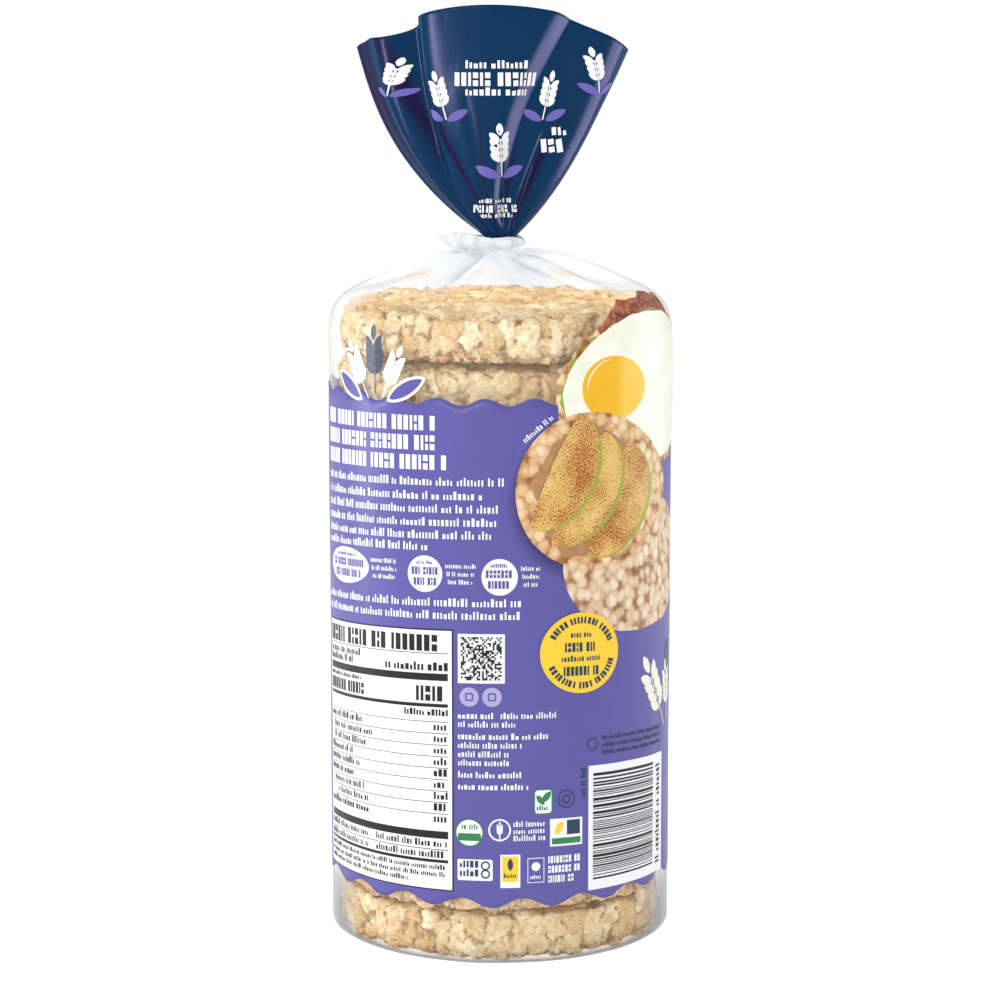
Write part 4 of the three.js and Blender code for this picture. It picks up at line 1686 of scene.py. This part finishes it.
def press_in_mould(table, rugged):
    """Flattens the grains against the mould's ring and its two plates, with rounded edges."""
    radius = np.hypot(table[:, 0], table[:, 1])
    half = CAKE_THICKNESS / 2 - 0.15
    edge = EDGE_ROUND * (1 + rugged)
    near_face = np.clip((np.abs(table[:, 2]) - half + edge) / edge, 0, 1)
    limit = CAKE_RADIUS - 0.4 - edge * (1 - np.sqrt(1 - near_face ** 2))
    shrink = pressed(radius, limit, 0.9) / np.maximum(radius, 1e-6)
    table[:, 0] *= shrink
    table[:, 1] *= shrink
    table[:, 2] = np.sign(table[:, 2]) * pressed(np.abs(table[:, 2]), half, 0.7)


def nearest_grains(grains, table):
    """For each point, its own grain and how much nearer that is than the next one."""
    flat = Vector((1, 1, UPRIGHT))
    tree = kdtree.KDTree(len(grains))
    for index, (spot, _, _) in enumerate(grains):
        tree.insert(spot * flat, index)
    tree.balance()
    owners = np.empty(len(table), int)
    margins = np.empty(len(table))
    for row, point in enumerate(table * np.array(flat)):
        first, second = tree.find_n(point, 2)
        owners[row] = first[1]
        margins[row] = second[2] - first[2]
    return owners, margins


def puckers(table, size):
    """Fine noise at each point, from about -1 to 1."""
    return np.array([noise.noise(Vector(point) / size) for point in table])


def write_value(mesh, name, values):
    """Gives each vertex of a mesh a number that its finish can read."""
    layer = mesh.attributes.new(name, "FLOAT", "POINT")
    layer.data.foreach_set("value", np.asarray(values, np.float32))


def puffed_out(table, steps, crack, broad, waver, rugged):
    """How far each point stands out of the pressed skin, in millimetres."""
    outward = (1 + rugged) * (GRAIN_STEP * steps * (1 - crack) - CRACK_DEPTH * crack)
    outward += (0.25 + 0.3 * rugged) * broad + (0.08 + 0.1 * rugged) * waver
    puffs = np.abs(puckers(table, 5.2)) + 0.3 * np.abs(puckers(table + 17, 2.8)) - 0.3
    return outward + (0.3 + 1.2 * rugged) * puffs


def toasted_edges(table, rugged):
    """How toasted each point is, which only the rim's edges are, and how much it is of the lip."""
    height = table[:, 2]
    near_rim = np.clip((np.hypot(table[:, 0], table[:, 1]) - RIM_START) / 4, 0, 1)
    upper = np.clip((height - EDGE_START) / EDGE_BAND, 0, 1) * near_rim
    lower = np.clip((-height - EDGE_START) / EDGE_BAND, 0, 1) * near_rim
    above_foot = height + CAKE_THICKNESS / 2
    lip = np.exp(-(((above_foot - 0.4) / 0.6) ** 2)) * near_rim
    return np.clip(0.5 * upper * rugged + lower, 0, 1), lip


def cake_mesh(seed, voxel, rugged=0.0):
    """One puffed rice cake about the origin, in millimetres, with what its finish needs to know."""
    dice = random.Random(seed)
    grains = face_grains(dice, -1) + face_grains(dice, 1) + rim_grains(dice, rugged)
    mesh = remeshed(grain_heap(dice, grains, rugged), voxel)
    table = rows_of(mesh.vertices, "co")
    press_in_mould(table, rugged)
    move_to(mesh, table)
    aside = np.column_stack([puckers(table + shift, 4.0) for shift in (0, 31, 67)])
    owners, margins = nearest_grains(grains, table + WANDER * aside)
    tones = np.array([dice.random() for _ in grains])
    steps = np.array([dice.uniform(-1, 0.6) for _ in grains])
    waver = puckers(table, 1.3)
    broad = puckers(table, 4.5)
    crack = np.clip(1 - (margins + 0.8 * waver + 1.1 * broad) / CRACK_WIDTH, 0, 1)
    outward = puffed_out(table, steps[owners], crack, broad, waver, rugged)
    radius = np.hypot(table[:, 0], table[:, 1])
    toast, lip = toasted_edges(table, rugged)
    move_to(mesh, table + rows_of(mesh.vertex_normals, "vector") * outward[:, None])
    table = rows_of(mesh.vertices, "co")
    table[:, :2] *= (1 + LIP * lip * (0.6 + broad) / np.maximum(radius, 1))[:, None]
    move_to(mesh, table)
    write_value(mesh, "tone", tones[owners])
    write_value(mesh, "crack", crack)
    write_value(mesh, "toast", toast)
    return mesh


def make_cake(number, mesh, material, offset, turn):
    """Sets one cake in the stack, counted from the lowest."""
    height = (number - 0.5) * CAKE_PITCH + (TOP_CAKE_LIFT if number == CAKE_COUNT else 0)
    tilt = Euler((offset[1] * 0.004, offset[0] * 0.004, turn)).to_matrix().to_4x4()
    spot = Matrix.Translation(Vector((offset[0], offset[1], height)))
    mesh.transform(spot @ tilt)
    table = rows_of(mesh.vertices, "co")
    table[:, 2] = np.maximum(table[:, 2], STACK_FOOT)
    move_to(mesh, table * MM)
    placed(mesh, f"cake_{number:02d}", "rice_cake", material)


def make_cakes(material):
    """The stack: the two cakes that show at each end are fine, and those behind the print plain."""
    dice = random.Random(11)
    fine = FINE_SKIN
    plain = cake_mesh(5, PLAIN_SKIN)
    for number in range(1, CAKE_COUNT + 1):
        offset = (dice.uniform(-0.7, 0.7), dice.uniform(-0.5, 0.5))
        turn = dice.uniform(0, math.tau)
        shown = number <= 2 or number >= CAKE_COUNT - 1
        rugged = RUGGED if number > 2 else 0.0
        mesh = cake_mesh(20 + number, fine, rugged) if shown else plain.copy()
        make_cake(number, mesh, material, offset, turn)


# ---- Floor, lights and camera ----


def make_floor():
    """A plain white floor that lights the bag softly from below."""
    shape = bmesh.new()
    bmesh.ops.create_circle(shape, cap_ends=True, segments=64, radius=8.0)
    mesh = bpy.data.meshes.new("floor")
    shape.to_mesh(mesh)
    shape.free()
    floor = linked("floor", mesh)
    material, tree = new_material("floor_white")
    grain = cloudy(tree, object_place(tree), 300.0, 2.0)
    paint = mixed(tree, grain, (0.5, 0.5, 0.5, 1), (0.52, 0.52, 0.52, 1))
    matt = add(tree, "BsdfDiffuse", {"Color": paint})
    glossy = add(tree, "LightPath").outputs["Is Glossy Ray"]
    strength = sized(tree, glossy, 0, 1, 0.8, 0.35)
    glow = add(tree, "Emission", {"Color": (1, 1, 1, 1), "Strength": strength})
    both = add(tree, "AddShader", {0: matt.outputs[0], 1: glow.outputs[0]})
    output(tree, both.outputs[0])
    mesh.materials.append(material)


LAMPS = [  # [name, place, width, height, watts], in metres
    ("left_strip", (-0.95, 0.1, 0.22), 0.22, 0.8, 5),
    ("front_key", (-0.7, -1.3, 0.8), 0.9, 0.9, 9),
    ("right_strip", (0.9, 0.4, 0.25), 0.3, 0.8, 3),
    ("top", (0.1, 0.1, 1.3), 0.8, 0.8, 5),
]
COLLAR_LAMPS = [  # the same, for two that light the collar alone
    ("collar_right", (0.34, 0.0, 0.12), 0.2, 0.23, 2.8),
    ("collar_left", (-0.32, -0.46, 0.04), 0.06, 0.5, 7.0),
]


def make_softbox(name, stand, width, height, power, target):
    """A soft rectangular lamp that faces a point."""
    lamp = bpy.data.lights.new(name, "AREA")
    lamp.shape = "RECTANGLE"
    lamp.size = width
    lamp.size_y = height
    lamp.energy = power
    holder = linked(name, lamp)
    holder.location = stand
    aim = Vector(target) - Vector(stand)
    holder.rotation_euler = aim.to_track_quat("-Z", "Y").to_euler()
    return holder


def make_lamps(collar):
    """Soft lamps round the bag, and two violet ones that light only the collar."""
    for lamp in LAMPS:
        make_softbox(*lamp, target=(0, 0, 0.14))
    collar_only = bpy.data.collections.new("collar_only")
    collar_only.objects.link(collar)
    for lamp in COLLAR_LAMPS:
        card = make_softbox(*lamp, target=(0, 0, 0.24))
        card.data.color = (0.72, 0.6, 1.0)
        card.light_linking.receiver_collection = collar_only
        card.visible_camera = False
        card.visible_diffuse = False


def make_studio():
    """White all round: full white to the camera, and half as bright where it lights the bag."""
    world = bpy.data.worlds.new("studio")
    bpy.context.scene.world = world
    world.use_nodes = True
    tree = world.node_tree
    tree.nodes.clear()
    path = add(tree, "LightPath").outputs
    reflected = sized(tree, path["Is Glossy Ray"], 0, 1, 0.5, 0.45)
    strength = sized(tree, path["Is Camera Ray"], 0, 1, 0.0, 0.5)
    strength = worked_out(tree, "ADD", reflected, strength)
    back = add(tree, "Background", {"Color": (1, 1, 1, 1), "Strength": strength})
    add(tree, "OutputWorld", {"Surface": back.outputs[0]})


CAMERA_DISTANCE = 0.9  # metres in front of the bag's axis
CAMERA_HEIGHT = 0.2744  # metres above the table
CAMERA_PITCH = 8.13  # degrees down
CAMERA_LENS = 109.25
CAMERA_SHIFT = -0.058


def make_camera():
    """One camera for the whole bag, a little above its middle."""
    lens = bpy.data.cameras.new("camera")
    lens.lens = CAMERA_LENS
    lens.shift_y = CAMERA_SHIFT
    camera = linked("camera", lens)
    camera.location = (0, -CAMERA_DISTANCE, CAMERA_HEIGHT)
    camera.rotation_euler = (math.radians(90 - CAMERA_PITCH), 0, 0)
    bpy.context.scene.camera = camera
    bpy.context.scene.view_settings.view_transform = "Standard"


# ---- The scene ----

make_camera()
make_floor()

make_bag_film(clear_film())
violet_ink = printed_ink("violet_ink", display(92, 87, 162))
make_band(violet_ink)
white_ink = printed_ink("white_ink", display(243, 243, 246))
lavender_ink = printed_ink("lavender_ink", display(176, 168, 214))
cream_gap = display(186, 136, 86)
make_print({
    "white": white_ink,
    "black": printed_ink("black_ink", display(28, 27, 30)),
    "slate": printed_ink("slate_ink", display(44, 62, 92)),
    "violet": violet_ink,
    "lavender": lavender_ink,
    "green": printed_ink("green_ink", display(46, 132, 82)),
    "yellow": printed_ink("yellow_ink", display(252, 208, 52)),
    "cream": printed_ink("cream_ink", display(243, 240, 222)),
})
make_pictures({
    "shadow": picture_of_shadow(25.6, 135.4, 24.6, display(92, 87, 162), display(48, 42, 96)),
    "plain_cake": picture_of_grains(
        "picture_of_plain_cake", 3.0, display(238, 220, 194), display(216, 184, 142), cream_gap
    ),
    "warm_cake": picture_of_grains(
        "picture_of_warm_cake", 3.0, display(240, 212, 166), display(214, 164, 106), cream_gap
    ),
    "green": printed_ink("leaf_green_ink", display(158, 172, 62)),
    "egg": picture_of_egg(),
    "yolk": picture_of_yolk(),
    "bacon": picture_of_bacon(),
    "spread": picture_of_spread(),
    "slices": picture_of_apple(),
})
# the last colour of each navy ink is its painted shade in the collar's folds
collar = make_collar(
    printed_ink("navy_ink", display(5, 50, 87), 0.2, 0.08, 0.08, display(26, 10, 56)),
    printed_ink("navy_ink_inside", display(30, 50, 90), 0.4, 0.1, 0.15, display(22, 14, 50)),
)
make_collar_print(white_ink, printed_ink("collar_lavender_ink", display(105, 95, 180)))
make_lamps(collar)
make_studio()
make_tape(tape_paper())
make_cakes(puffed_rice())
